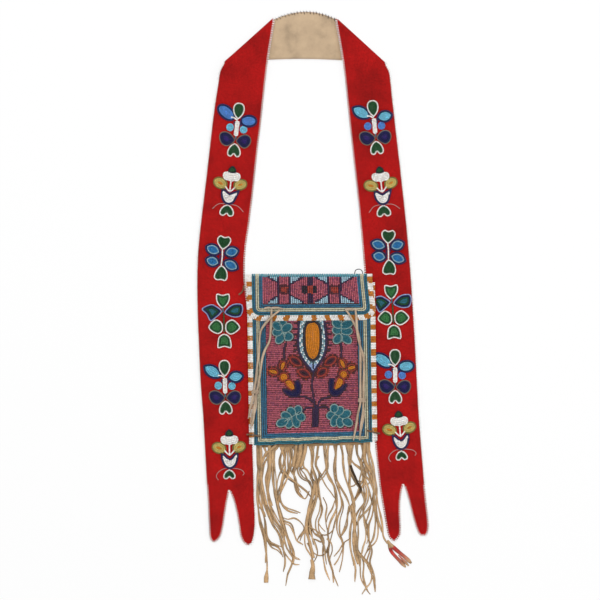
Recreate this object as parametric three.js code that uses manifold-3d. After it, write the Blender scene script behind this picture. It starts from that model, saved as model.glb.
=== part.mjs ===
import * as THREE from "three";
import { mergeVertices } from "three/addons/utils/BufferGeometryUtils.js";
import Module from "manifold-3d";

// A beaded bandolier bag that lies on its back, face up. X runs across the bag, Y towards the
// neck of its strap, and Z up. The origin is the middle of the pouch's back, on the surface
// that the bag lies on. Lengths are in millimetres and angles in degrees.

// Clearance between pieces that are sewn to each other
const SEAM_GAP = 0.3;

// Strap: one strip of red wool cloth with a cotton lining under it
const STRAP_WIDTH = 56.5;
const CLOTH_THICKNESS = 1.5;
const LINING_THICKNESS = 0.7;
const LINING_INSET = 1.2;
const EDGE_BEAD_WIDTH = 2;
const EDGE_BEAD_HEIGHT = 1.5;

// Shoulder folds: each leg of the strap turns under itself and carries on as the neck band
const FOLD_ANGLE = 41;
const FOLD_GAP = 0.8;
const FOLD_STEPS = 6;
const SKEW_LENGTH = 105;
const RISE_START = 312;
const RISE_LENGTH = 40;
const NECK_TOP = 415;
const NECK_STEPS = 8;
const LEG_STEPS = 20;

// Inner edge of each leg: distance out from the pouch's side, and Y, from the tail to the fold
const LEFT_LEG = [
  [-3.5, -228], [-1.5, -160], [2, -72], [7, 15], [10, 95], [8.5, 133],
  [2, 175], [-6, 258], [-12, 303], [-25, 404.5],
];
const RIGHT_LEG = [
  [20.5, -224], [13, -170], [5.5, -115], [0.5, -43], [-4, 29], [-8, 85],
  [-10.5, 135], [-19.5, 217], [-27.5, 303], [-40, 404.5],
];

// Forked tails: across the leg from its middle, outwards, as a share of half its width, and up
// from the leg's end
const LEFT_FORK = { innerTip: [-0.67, 4], outerTip: [0.76, 7.5], notch: [0.11, 70], tip: 0.26 };
const RIGHT_FORK = { innerTip: [-0.74, 5], outerTip: [0.48, 11.5], notch: [-0.34, 73], tip: 0.26 };
const FORK_ROUNDING = 18;

// Bead flowers on the strap: Y of each one's middle, and its shift towards +X
const LEFT_FLOWERS = [[275, 2], [201, 0.5], [123, 1], [53, 2.5], [-34, 0], [-111, 0.5]];
const RIGHT_FLOWERS = [[278, 1.5], [202, 1.5], [130, 2.5], [64, 3.5], [-20.5, 2], [-90.5, 3]];
const FLOWER_HEIGHT = 1.6;
const FLOWER_STALK = 2.4;

// Designs of the bead flowers, up the leg from the flower's middle. Petals are given by their
// base, tip, width and form, discs by their middle and half sizes, and bars by their ends and width.
const BAR_FLOWER = {
  petals: [
    [[0, 11], [0, 30], 12.8, "drop"], [[-6, 11.5], [-24, 24], 12.5, "leaf"],
    [[5, 7.8], [21.5, 12], 11, "leaf"], [[0, -14.8], [-21, -11.5], 17, "drop"],
    [[0, -14.8], [21, -11.5], 17, "drop"], [[0, -18], [0, -34], 15, "heart"],
  ],
  discs: [[-8, 1, 4.3, 4.3], [8, 1, 4.3, 4.3]],
  bars: [
    [[0, 14], [0, -20], FLOWER_STALK], [[0, 8], [0, -8], 6], [[-8, 1], [8, 1], FLOWER_STALK],
    [[-8.5, 13.5], [0, 6], FLOWER_STALK], [[7.5, 8.5], [0, 6], FLOWER_STALK],
  ],
};
const TULIP_FLOWER = {
  petals: [
    [[0, 2.5], [-19, 12.5], 13, "leaf"], [[0, 2.5], [19, 12.5], 13, "leaf"],
    [[0, -13], [0, 1], 16, "drop"], [[0, -12.5], [0, -29], 17.6, "heart"],
  ],
  discs: [[0, 25.5, 3.6, 3.6], [0, 17.6, 10.5, 5.9]],
  bars: [
    [[0, 24], [0, -16], FLOWER_STALK], [[0, -9], [-17.8, -23.8], 2], [[0, -9], [19.9, -23], 2],
  ],
};
const LEAF_FLOWER = {
  petals: [
    [[0, 10], [0, 25.5], 17.6, "drop"], [[0, 5], [-19, 9.5], 10.8, "leaf"],
    [[0, 5], [19, 9.5], 10.8, "leaf"], [[0, -8], [-19, -7], 10.8, "leaf"],
    [[0, -8], [19, -7], 10.8, "leaf"], [[0, -12], [0, -29], 16, "drop"],
  ],
  discs: [],
  bars: [[[0, 13], [0, -15], 3]],
};
const WING_FLOWER = {
  petals: [
    [[0, 8], [0, 23.5], 16, "heart"], [[0, 1.5], [-25, 3], 17, "drop"],
    [[0, 1.5], [22.5, 3], 17, "drop"], [[0, -14.5], [-18, -16], 15, "heart"],
    [[0, -14.5], [18, -16], 15, "heart"], [[0, -23.5], [0, -40], 15.6, "heart"],
  ],
  discs: [],
  bars: [[[0, 11], [0, -27], 3]],
};
const FLOWER_ORDER = [BAR_FLOWER, TULIP_FLOWER, LEAF_FLOWER, WING_FLOWER, BAR_FLOWER, TULIP_FLOWER];

// Pouch: a back like a shallow dish, with its sides and foot raised over the strap and fringe
const POUCH_WIDTH = 142;
const POUCH_HEIGHT = 204;
const MOUTH_DROP = 9.5;
const BACK_THICKNESS = 1.2;
const RIM_WIDTH = 13;
const RIM_SLOPE = 8;
const POCKET_DEPTH = 5.2;
const FRONT_THICKNESS = 1;
const CROWN_RUN = 24;
const BEAD_HEIGHT = 2;
const BORDER_SIDE = 16;
const BORDER_FOOT = 13;
const EDGING_WIDTH = 6;
const EDGING_HEIGHT = 4;

// The pouch lies a little askew: its foot swings to the right, and its right corner is drawn up
const POUCH_LEAN = 3;
const POUCH_SLANT = 4;

// Flap: sewn to the top of the back and turned over the mouth
const FLAP_THICKNESS = 1;
const FLAP_LENGTH = 50;
const FLAP_CORNER = 9.5;
const FLAP_BORDER_SIDE = 13;
const FLAP_BORDER_FOOT = 14;
const FLAP_EDGING_HEIGHT = 2.4;
const FLAP_PATTERN_HEIGHT = 0.7;
const FLAP_TURN_STEPS = 6;
const FLAP_BARE_STEPS = 2;
const FLAP_SETTLE = 12;

// Plant worked in beads on the pouch: how far its beads stand above the ground beads
const PLANT_HEIGHT = 0.8;
const PLANT_DROP = 0.7;
const STEM_WIDTH = 3;

// The plant's figures: X from the pouch's middle, and Y from the plant's top
const PLANT_BUD = [0.8, -24, 8.8, 22];
const PLANT_FRAME = [
  [-15.6, -2], [-15.8, -16], [-14.8, -32], [-10, -46], [1.8, -59],
  [12.5, -46], [17, -32], [17.6, -16], [17.4, -2], [9, -0.5], [0.8, -2.5], [-8, -0.5],
];
const PLANT_TRUNK = [0, -127, 7.9, -107];
const PLANT_BRANCHES = [
  [[4.2, -110], [3, -97], [-0.7, -79], [1.6, -61]],
  [[3.6, -104], [-0.7, -95], [-10.8, -91.2], [-17.5, -91.2]],
  [[4, -104], [9.1, -94.5], [21.6, -91.6]],
  [[3.5, -105], [-3.1, -103.2], [-9.4, -106.5]],
  [[3.5, -105], [12, -102.7], [15.5, -106]],
];
const PLANT_LEAVES = {
  upper_left: [[-31, -27.4], [-44.5, -24], [-46.8, -12], [-39, -8], [-33, -1], [-26, -6], [-22, -15]],
  upper_right: [[34, -27.4], [24.5, -18], [27, -8], [33, -1], [40, -6], [49, -10], [48, -23]],
  lower_left: [[-10.8, -110], [-20, -101.2], [-33, -101.5], [-43.6, -108], [-38, -118], [-22, -123]],
  lower_right: [[17, -109.5], [26, -101.2], [39, -102], [46.4, -111], [40, -122], [25, -126.5]],
};
const SMALL_LEAVES = [
  [[-17, -52], [-24.5, -45]], [[-8.5, -64.5], [-14, -57.5]],
  [[9.5, -63], [15, -57]], [[18, -51], [25, -45]],
];
const SMALL_LEAF_WIDTH = 5;

// Blossoms: X of each one's middle, and its figures outwards from there and from the plant's top
const BLOSSOM_X = [-27.6, 31];
const BLOSSOM_CUP = [
  [0, -89], [9, -85.5], [12, -77], [11, -71], [0, -74], [-11, -71], [-12, -77], [-9, -85.5],
];
const BLOSSOM_HEART = [[0, -83], [6, -74], [0, -66], [-6, -74]];
const BLOSSOM_DOT = [6.5, -67.2, 4.5];
const BLOSSOM_PRONGS = [
  [[6.5, -66], [7.5, -58], [7.5, -48.5]], [[7, -66], [13, -61], [23, -58.5]],
];
const BLOSSOM_STALK = [[7.5, -50], [5.5, -40], [5, -30]];

// Bead figures on the flap: X and size of each bar and square, on a line across the field
const FLAP_BARS = [[-40, 2.4, 29], [-26, 2.4, 29], [-2, 5, 29], [20, 2.4, 29], [35.5, 2.4, 29]];
const FLAP_SQUARES = [[-33, 11, 9], [-8, 6, 6], [4, 6, 6], [27.7, 11.5, 9]];
const FLAP_LINE = 2;

// Fringe: one strip of hide, cut into thongs below a head that is sewn behind the pouch's foot
const HIDE_THICKNESS = 1.2;
const THONG_WIDTH = 3;
const HEAD_LENGTH = 9;
const HEAD_INSET = 4;
const THONG_STEP = 22;
const THONG_LAYERS = 3;
const THONG_RUN_IN = 18;
const TAB_WIDTH = 8;
const TAB_THONGS = [5, 12];

// Hide ties that hang from the flap, and small ties at the pouch's corners
const TIE_DIAMETER = 2.4;
const KNOT_LENGTH = 4;
const KNOT_WALL = 1.2;
const KNOT_GAP = 0.5;
const SMALL_TIE = 1.8;
const THREAD_DIAMETER = 1;
const TUBE_SIDES = 8;

// Each thong of the fringe lies along these points: distance in from the pouch's left side or
// right side, and Y from the pouch's foot
const LEFT_THONGS = [
  [[6, -3], [7, -19], [7, -37], [7, -53], [8, -69], [10, -92], [13, -114], [14, -134], [15, -149],
    [16, -167]],
  [[8, -3], [10, -14], [9, -26], [7, -41], [9, -62], [15, -75], [24, -92], [33, -101], [39, -113],
    [42, -124], [48, -138]],
  [[12, -3], [15, -14], [18, -29], [17, -42], [19, -56], [21, -69], [29, -92], [37, -107], [42, -122],
    [49, -136], [57, -139]],
  [[30, -3], [22, -12], [14, -19], [10, -29], [9, -50], [12, -65], [17, -77], [26, -96], [34, -110],
    [36, -124], [41, -137], [49, -146], [56, -146]],
  [[21, -3], [23, -23], [24, -37], [27, -50], [30, -62], [34, -84], [38, -107], [43, -121], [48, -134],
    [48, -146], [44, -158], [40, -171]],
  [[25, -3], [24, -16], [24, -29], [26, -44], [28, -58], [32, -78], [36, -97], [36, -114], [34, -124],
    [36, -137], [37, -146], [36, -154]],
  [[36, -2], [33, -10], [31, -21], [37, -35], [46, -42], [56, -48], [64, -56], [70, -65]],
  [[40, -2], [41, -13], [40, -22], [40, -32], [35, -44], [32, -57]],
  [[47, -2], [49, -11], [49, -23], [46, -32], [50, -40], [53, -52], [61, -64]],
  [[53, -2], [55, -13], [53, -23], [48, -33], [48, -43], [51, -55], [55, -63], [63, -67]],
  [[58, -1], [59, -11], [57, -22], [55, -32], [60, -40], [70, -45], [73, -56], [71, -71], [67, -89],
    [68, -106], [72, -122]],
  [[63, -1], [63, -10], [59, -21], [59, -29], [64, -35], [68, -43], [72, -52], [72, -68], [69, -85],
    [66, -100], [58, -111], [56, -117]],
  [[69, -1], [71, -11], [70, -22], [70, -33], [73, -45], [74, -58], [71, -73], [66, -88], [65, -106],
    [65, -122], [70, -135], [72, -146], [72, -161]],
  [[7, -3], [8, -32], [8, -52], [9, -77], [13, -95], [16, -112], [22, -119], [28, -121], [34, -127],
    [37, -136]],
  [[34, -2], [37, -15], [37, -28], [33, -41], [31, -56], [34, -71], [42, -79], [50, -82], [57, -84]],
  [[43, -2], [44, -14], [43, -27], [39, -41], [33, -59], [33, -77], [37, -92], [45, -97], [49, -107],
    [52, -117], [60, -122]],
];
const RIGHT_THONGS = [
  [[67, 0], [69, -13], [71, -27], [68, -41], [67, -56], [70, -75], [74, -91], [72, -105], [67, -117],
    [65, -131], [70, -143]],
  [[62, 0], [64, -14], [67, -26], [64, -37], [66, -49], [67, -63], [70, -77], [72, -93], [66, -107],
    [60, -112], [57, -122], [56, -135]],
  [[57, 0], [56, -14], [54, -28], [58, -39], [63, -46], [61, -57], [59, -68], [60, -82], [65, -94],
    [65, -105], [59, -116], [58, -131], [54, -146], [49, -164]],
  [[50, 0], [51, -16], [53, -33], [51, -43], [47, -51], [44, -63], [43, -77], [48, -93], [50, -107],
    [48, -119], [50, -134], [48, -151], [46, -167]],
  [[44, 1], [44, -13], [46, -27], [46, -38], [41, -47], [35, -55], [29, -63], [24, -73], [21, -87],
    [19, -105], [19, -122], [19, -135], [15, -146], [12, -161], [7, -171]],
  [[40, 1], [41, -14], [43, -29], [43, -46], [40, -59], [36, -75], [39, -91], [38, -106], [33, -118],
    [34, -131], [37, -143], [39, -154]],
  [[35, 1], [33, -13], [34, -26], [33, -40], [29, -55], [24, -67], [20, -79], [17, -93], [17, -113],
    [15, -128], [9, -139], [3, -149], [2, -164], [6, -172], [11, -181]],
  [[30, 1], [28, -15], [23, -25], [17, -29], [11, -33], [9, -43], [12, -53], [16, -65], [22, -75],
    [28, -85], [31, -98], [36, -110]],
  [[26, 2], [25, -10], [25, -21], [23, -33], [18, -44], [13, -55], [16, -61], [20, -68]],
  [[22, 2], [24, -9], [27, -22], [28, -37], [28, -51], [23, -64], [19, -77], [21, -93], [24, -110],
    [25, -130], [22, -145], [20, -166]],
  [[17, 2], [15, -13], [11, -22], [9, -33], [12, -44], [11, -57], [9, -69], [14, -79], [18, -91],
    [17, -109], [16, -125], [11, -142], [12, -160], [6, -175], [1, -181]],
  [[12, 2], [9, -9], [6, -21], [4, -33], [6, -46], [4, -55], [6, -67], [11, -80], [10, -91], [6, -104],
    [5, -116], [9, -129], [12, -137]],
  [[7, 3], [8, -10], [11, -25], [10, -37], [4, -45], [0, -56], [-2, -68], [-4, -82], [-6, -100],
    [-4, -116], [2, -124], [7, -134], [8, -142]],
  [[5, 3], [5, -13], [3, -28], [0, -41], [-2, -56], [-1, -70], [1, -85], [4, -98], [2, -112],
    [-1, -128], [3, -142], [0, -154], [-2, -164], [-4, -178]],
  [[4, 3], [2, -10], [0, -23], [-2, -38], [-2, -52], [-1, -64], [5, -77], [13, -88], [18, -101],
    [20, -116]],
  [[3, 3], [1, -14], [-1, -31], [-3, -45], [-5, -58], [-6, -74], [-9, -87], [-12, -98], [-14, -111],
    [-19, -122], [-27, -129], [-33, -136], [-45, -146]],
];

// Each tie lies along these points: distance in from the pouch's left or right side, Y from the
// flap's lower edge, and what it lies on there
const LEFT_TIES = {
  tie_left_inner: [
    [22.5, 7, "flap"], [22.5, 2, "flap"], [22.2, -6, "edge"], [21.8, -14, "front"],
    [21.2, -22, "front"], [20, -31, "front"], [14.5, -42, "front"], [11.4, -52, "front"],
    [9.4, -66, "front"], [7.6, -78, "front"], [5.4, -89, "knot"], [4.2, -95, "knot"],
    [2.6, -106, "front"], [1, -121, "front"], [-0.5, -133, "front"],
  ],
  tie_left_outer: [
    [32.6, 6, "flap"], [28, 2.5, "over"], [22.4, -2, "over"], [16, -9, "cross"],
    [10.5, -17, "front"], [8.4, -26, "front"], [7.8, -36, "front"], [7.2, -47, "front"],
    [5, -63, "front"], [3.6, -78, "front"], [1.8, -89, "knot"], [0.6, -95, "knot"],
    [-2, -106, "front"], [-3.5, -114, "front"], [-4.5, -120, "front"],
  ],
};
const RIGHT_TIES = {
  tie_right_inner: [
    [30.2, 6, "flap"], [26.5, 1, "flap"], [22.8, -6, "edge"], [19, -13, "front"],
    [16, -21, "front"], [13.8, -32, "front"], [13.2, -44, "front"], [13, -56, "front"],
    [13, -70, "front"], [13, -86, "front"], [13, -98, "knot"], [13.2, -106, "knot"],
    [16, -118, "front"], [17.8, -130, "front"], [20, -142, "front"], [21.4, -150, "front"],
  ],
  tie_right_outer: [
    [19, 6, "flap"], [18.4, 1, "flap"], [17.8, -6, "edge"], [17.1, -17, "cross"],
    [15.6, -29, "cross"], [12.4, -40, "cross"], [9.4, -50, "front"], [8.8, -62, "front"],
    [9.1, -76, "front"], [9.4, -86, "front"], [9.4, -98, "knot"], [9.6, -106, "knot"],
    [10.2, -118, "front"], [12.4, -133, "front"], [14, -150, "front"],
  ],
};

// Thread loop at the flap's turn: distance in from the pouch's right side, out from the turn, and
// down from where it leaves the turn
const THREAD_LOOP = [[20.2, 0, 0], [18.5, 2.8, 1], [15.1, 4.4, 2], [11.5, 2.8, 1], [9.8, 0, 0]];

const RED_CLOTH = { color: 0xa0211f, roughness: 0.95, metalness: 0 };
const LINING_CLOTH = { color: 0xc3a88b, roughness: 0.95, metalness: 0 };
const BUCKSKIN = { color: 0xb3906e, roughness: 0.9, metalness: 0 };
const PALE_HIDE = { color: 0xc9b79f, roughness: 0.9, metalness: 0 };
const DARK_HIDE = { color: 0x5b4636, roughness: 0.9, metalness: 0 };
const ROSE_BEADS = { color: 0x914e5a, roughness: 0.35, metalness: 0 };
const BLUE_BEADS = { color: 0x43596f, roughness: 0.35, metalness: 0 };
const SKY_BEADS = { color: 0x7d93a0, roughness: 0.35, metalness: 0 };
const WHITE_BEADS = { color: 0xd2c2b9, roughness: 0.35, metalness: 0 };
const GREEN_BEADS = { color: 0x1f4934, roughness: 0.35, metalness: 0 };
const TEAL_BEADS = { color: 0x376c70, roughness: 0.35, metalness: 0 };
const GOLD_BEADS = { color: 0xab6a1c, roughness: 0.35, metalness: 0 };
const PURPLE_BEADS = { color: 0x2a1e3c, roughness: 0.35, metalness: 0 };

const WELD = 1e-4;
const CURVE_PARTS = 4;

const wasm = await Module();
wasm.setup();

// Sizes that follow from the ones above
const halfGap = SEAM_GAP / 2;
const strapThickness = CLOTH_THICKNESS + SEAM_GAP + LINING_THICKNESS;
const legLevel = LINING_THICKNESS + halfGap;
const neckLevel = CLOTH_THICKNESS + halfGap;
const foldRadius = LINING_THICKNESS + halfGap + FOLD_GAP / 2;
const raisedLevel = neckLevel + 2 * foldRadius;
const flowerLevel = strapThickness + SEAM_GAP;
const rimLevel = strapThickness + SEAM_GAP;
const pouchTop = POUCH_HEIGHT / 2;
const mouthY = pouchTop - MOUTH_DROP;
const pouchSide = POUCH_WIDTH / 2;
const frontEdge = rimLevel + BACK_THICKNESS + SEAM_GAP;
const frontPlateau = BACK_THICKNESS + POCKET_DEPTH;
const crown = frontPlateau - frontEdge;
const frontBeads = FRONT_THICKNESS + SEAM_GAP;
const fieldTop = frontPlateau + frontBeads + BEAD_HEIGHT;
const flapLevel = fieldTop + SEAM_GAP;
const flapTop = flapLevel + FLAP_THICKNESS + SEAM_GAP + BEAD_HEIGHT;
const flapFoot = pouchTop - FLAP_LENGTH;

// Closed geometry to a solid that can be joined and cut
function toSolid(geometry) {
  const bare = new THREE.BufferGeometry();
  bare.setAttribute("position", geometry.getAttribute("position"));
  bare.setIndex(geometry.getIndex());
  const merged = mergeVertices(bare, WELD);
  const mesh = new wasm.Mesh({
    numProp: 3,
    vertProperties: new Float32Array(merged.getAttribute("position").array),
    triVerts: new Uint32Array(merged.getIndex().array),
  });
  return new wasm.Manifold(mesh);
}

function toGeometry(solid) {
  const mesh = solid.getMesh();
  const geometry = new THREE.BufferGeometry();
  geometry.setAttribute("position", new THREE.BufferAttribute(mesh.vertProperties, 3));
  geometry.setIndex(new THREE.BufferAttribute(mesh.triVerts, 1));
  geometry.computeVertexNormals();
  return geometry;
}

// A sheet between two like grids of points: low is its under side and high its upper side
function slab(low, high) {
  const rows = low.length;
  const columns = low[0].length;
  const positions = [...low.flat(), ...high.flat()].flatMap((point) => point.toArray());
  const faces = [];
  const at = (layer, i, j) => (layer * rows + i) * columns + j;
  const quad = (a, b, c, d) => faces.push(a, b, c, a, c, d);
  for (let i = 0; i < rows - 1; i += 1) {
    for (let j = 0; j < columns - 1; j += 1) {
      quad(at(1, i, j), at(1, i, j + 1), at(1, i + 1, j + 1), at(1, i + 1, j));
      quad(at(0, i, j), at(0, i + 1, j), at(0, i + 1, j + 1), at(0, i, j + 1));
    }
    quad(at(0, i, 0), at(1, i, 0), at(1, i + 1, 0), at(0, i + 1, 0));
    const last = columns - 1;
    quad(at(0, i, last), at(0, i + 1, last), at(1, i + 1, last), at(1, i, last));
  }
  for (let j = 0; j < columns - 1; j += 1) {
    const last = rows - 1;
    quad(at(0, 0, j), at(0, 0, j + 1), at(1, 0, j + 1), at(1, 0, j));
    quad(at(0, last, j), at(1, last, j), at(1, last, j + 1), at(0, last, j + 1));
  }
  const geometry = new THREE.BufferGeometry();
  geometry.setAttribute("position", new THREE.Float32BufferAttribute(positions, 3));
  geometry.setIndex(faces);
  geometry.computeVertexNormals();
  return geometry;
}

// A flat plate of the given outline, from height low up by thickness
function plate(shape, low, thickness) {
  const options = { depth: thickness, bevelEnabled: false, curveSegments: CURVE_PARTS };
  const geometry = new THREE.ExtrudeGeometry(shape, options);
  geometry.translate(0, 0, low);
  return geometry;
}

function joined(geometries) {
  const solids = geometries.map(toSolid);
  return solids.reduce((whole, solid) => whole.add(solid));
}

// The lay of the pouch on the surface: a square point of the pouch to where it lies
function lay(x, y) {
  const down = 0.5 - y / POUCH_HEIGHT;
  const swung = x + POUCH_LEAN * (down - 0.5);
  return [swung, y + (POUCH_SLANT * down * x) / POUCH_WIDTH];
}

function layGeometry(geometry) {
  const points = geometry.getAttribute("position");
  for (let i = 0; i < points.count; i += 1) {
    const [x, y] = lay(points.getX(i), points.getY(i));
    points.setXY(i, x, y);
  }
  return geometry;
}

function ease(t) {
  return THREE.MathUtils.smoothstep(t, 0, 1);
}

// Strap: rows of points from the left tail, up and over the folds and neck, to the right tail
function legCurve(side, route) {
  const points = route.map(([out, y]) => new THREE.Vector3(side * (pouchSide + out), y, 0));
  return new THREE.CatmullRomCurve3(points);
}

function legRow(side, curve, share) {
  const inner = curve.getPointAt(share);
  const along = curve.getTangentAt(share);
  const foldY = curve.getPointAt(1).y;
  const lean = Math.atan2(-side * along.x, along.y);
  const turn = ease((inner.y - foldY) / SKEW_LENGTH + 1);
  const skew = turn * (THREE.MathUtils.degToRad(FOLD_ANGLE) + lean);
  const outward = new THREE.Vector3(side * along.y, -side * along.x, 0);
  const across = outward.clone().addScaledVector(along, -Math.tan(skew));
  const outer = inner.clone().addScaledVector(across, STRAP_WIDTH);
  const rise = ease((inner.y - RISE_START) / RISE_LENGTH);
  inner.z = THREE.MathUtils.lerp(legLevel, raisedLevel, rise);
  outer.z = inner.z;
  return { inner, outer };
}

function legRows(side, route) {
  const curve = legCurve(side, route);
  const rows = [];
  for (let i = 0; i <= LEG_STEPS; i += 1) {
    rows.push(legRow(side, curve, i / LEG_STEPS));
  }
  return rows;
}

// Half a turn about the slanting fold line, from the leg above to the neck below
function foldRows(side, top) {
  const line = top.outer.clone().sub(top.inner).normalize();
  const away = new THREE.Vector3(side * Math.abs(line.y), Math.abs(line.x), 0);
  const rows = [];
  for (let i = 1; i <= FOLD_STEPS; i += 1) {
    const angle = (Math.PI * i) / FOLD_STEPS;
    const shift = away.clone().multiplyScalar(foldRadius * Math.sin(angle));
    shift.z = foldRadius * (Math.cos(angle) - 1);
    rows.push({ inner: top.inner.clone().add(shift), outer: top.outer.clone().add(shift) });
  }
  return rows;
}

function neckRows(left, right) {
  const arc = (from, to, middleY) => {
    const control = from.clone().add(to).multiplyScalar(0.5);
    control.y = 2 * middleY - control.y;
    return new THREE.QuadraticBezierCurve3(from, control, to);
  };
  const upper = arc(left.inner, right.inner, NECK_TOP);
  const lower = arc(left.outer, right.outer, NECK_TOP - STRAP_WIDTH);
  const rows = [];
  for (let i = 1; i < NECK_STEPS; i += 1) {
    rows.push({ inner: upper.getPoint(i / NECK_STEPS), outer: lower.getPoint(i / NECK_STEPS) });
  }
  return rows;
}

function strapRows() {
  const left = legRows(-1, LEFT_LEG);
  const right = legRows(1, RIGHT_LEG);
  const leftFold = foldRows(-1, left.at(-1));
  const rightFold = foldRows(1, right.at(-1));
  const neck = neckRows(leftFold.at(-1), rightFold.at(-1));
  return [...left, ...leftFold, ...neck, ...rightFold.reverse(), ...right.reverse()];
}

// The side of the strip that is the red face, at each row
function faceNormals(rows) {
  const middles = rows.map((row) => row.inner.clone().add(row.outer).multiplyScalar(0.5));
  return rows.map((row, i) => {
    const before = middles[Math.max(i - 1, 0)];
    const after = middles[Math.min(i + 1, rows.length - 1)];
    const across = row.inner.clone().sub(row.outer);
    return across.cross(after.clone().sub(before)).normalize();
  });
}

// A layer of the strip: from and to give its two edges on a row, low and high its two faces
function stripLayer(rows, edges, low, high) {
  const normals = faceNormals(rows);
  const layer = (offset) => rows.map((row, i) => (
    edges(row).map((point) => point.clone().addScaledVector(normals[i], offset))
  ));
  return slab(layer(low), layer(high));
}

function pointFrom(row, start, distance) {
  const across = row.inner.clone().sub(row.outer).normalize();
  return start.clone().addScaledVector(across, distance);
}

// Outline of one forked tail, from its right side to its left
function forkPath(shape, side, route, fork) {
  const end = legRow(side, legCurve(side, route), 0);
  const middle = (end.inner.x + end.outer.x) / 2;
  const foot = Math.min(end.inner.y, end.outer.y);
  const wide = STRAP_WIDTH / 2;
  const half = fork.tip * wide;
  const place = ([out, up]) => [middle + side * out * wide, foot + up];
  const tips = [place(fork.outerTip), place(fork.innerTip)].sort((a, b) => b[0] - a[0]);
  const [[rightX, rightY], [leftX, leftY]] = tips;
  const [notchX, notchY] = place(fork.notch);
  shape.lineTo(rightX + wide, rightY + 5 * FORK_ROUNDING);
  shape.lineTo(rightX + half, rightY + FORK_ROUNDING);
  shape.quadraticCurveTo(rightX + half, rightY, rightX, rightY);
  shape.quadraticCurveTo(rightX - half, rightY, rightX - half, rightY + FORK_ROUNDING / 2);
  shape.lineTo(notchX, notchY);
  shape.lineTo(leftX + half, leftY + FORK_ROUNDING / 2);
  shape.quadraticCurveTo(leftX + half, leftY, leftX, leftY);
  shape.quadraticCurveTo(leftX - half, leftY, leftX - half, leftY + FORK_ROUNDING);
  shape.lineTo(leftX - wide, leftY + 5 * FORK_ROUNDING);
}

// A mask over the whole strap, which cuts both of its tails to forks
function tailMask() {
  const reach = pouchSide + 2 * STRAP_WIDTH;
  const top = NECK_TOP + STRAP_WIDTH;
  const shape = new THREE.Shape();
  shape.moveTo(-reach, top);
  shape.lineTo(reach, top);
  forkPath(shape, 1, RIGHT_LEG, RIGHT_FORK);
  forkPath(shape, -1, LEFT_LEG, LEFT_FORK);
  shape.closePath();
  return toSolid(plate(shape, -STRAP_WIDTH, 2 * STRAP_WIDTH));
}

// The largest body of a solid, where a cut leaves slivers beside it
function largest(solid) {
  const bodies = solid.decompose();
  return bodies.sort((a, b) => b.volume() - a.volume())[0];
}

function strapPieces() {
  const rows = strapRows();
  const mask = tailMask();
  const cut = (geometry) => toGeometry(largest(toSolid(geometry).intersect(mask)));
  const face = halfGap + CLOTH_THICKNESS;
  const under = -halfGap - LINING_THICKNESS;
  const beads = halfGap + EDGE_BEAD_HEIGHT;
  const far = SEAM_GAP + EDGE_BEAD_WIDTH;
  const whole = (row) => [row.outer, row.inner];
  const inset = (row) => [
    pointFrom(row, row.outer, LINING_INSET), pointFrom(row, row.inner, -LINING_INSET),
  ];
  const inside = (row) => [pointFrom(row, row.inner, SEAM_GAP), pointFrom(row, row.inner, far)];
  const outside = (row) => [pointFrom(row, row.outer, -far), pointFrom(row, row.outer, -SEAM_GAP)];
  return {
    cloth: cut(stripLayer(rows, whole, halfGap, face)),
    lining: cut(stripLayer(rows, inset, under, -halfGap)),
    inside: cut(stripLayer(rows, inside, halfGap, beads)),
    outside: cut(stripLayer(rows, outside, halfGap, beads)),
  };
}

// Outline of one petal or leaf of beads
function petalShape(base, tip, width, form) {
  const from = new THREE.Vector2(...base);
  const along = new THREE.Vector2(...tip).sub(from);
  const side = new THREE.Vector2(-along.y, along.x).normalize().multiplyScalar(width);
  const at = (share, out) => from.clone().addScaledVector(along, share).addScaledVector(side, out).toArray();
  const shape = new THREE.Shape();
  shape.moveTo(...base);
  if (form === "heart") {
    shape.bezierCurveTo(...at(0.3, -0.5), ...at(1, -0.72), ...at(1, -0.2));
    shape.lineTo(...at(0.84, 0));
    shape.lineTo(...at(1, 0.2));
    shape.bezierCurveTo(...at(1, 0.72), ...at(0.3, 0.5), ...base);
    return shape;
  }
  const [low, high] = form === "drop" ? [0.35, 1] : [0.25, 0.75];
  shape.bezierCurveTo(...at(low, -0.66), ...at(high, -0.66), ...tip);
  shape.bezierCurveTo(...at(high, 0.66), ...at(low, 0.66), ...base);
  return shape;
}

function discShape(x, y, halfWidth, halfHeight) {
  const shape = new THREE.Shape();
  shape.absellipse(x, y, halfWidth, halfHeight, 0, 2 * Math.PI);
  return shape;
}

function barShape([x0, y0], [x1, y1], width) {
  const along = new THREE.Vector2(x1 - x0, y1 - y0).normalize().multiplyScalar(width / 2);
  const shape = new THREE.Shape();
  shape.moveTo(x0 - along.y, y0 + along.x);
  shape.lineTo(x1 - along.y, y1 + along.x);
  shape.lineTo(x1 + along.y, y1 - along.x);
  shape.lineTo(x0 + along.y, y0 - along.x);
  shape.closePath();
  return shape;
}

function boxShape(x0, y0, x1, y1) {
  const shape = new THREE.Shape();
  shape.moveTo(x0, y0);
  shape.lineTo(x1, y0);
  shape.lineTo(x1, y1);
  shape.lineTo(x0, y1);
  shape.closePath();
  return shape;
}

// Where a leg's middle has the given Y, and how far the leg leans there
function legPlace(side, curve, y) {
  let low = 0;
  let high = 1;
  for (let i = 0; i < 24; i += 1) {
    const share = (low + high) / 2;
    const row = legRow(side, curve, share);
    if ((row.inner.y + row.outer.y) / 2 < y) {
      low = share;
    } else {
      high = share;
    }
  }
  const row = legRow(side, curve, low);
  const along = curve.getTangentAt(low);
  return { x: (row.inner.x + row.outer.x) / 2, angle: Math.atan2(-along.x, along.y) };
}

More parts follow.
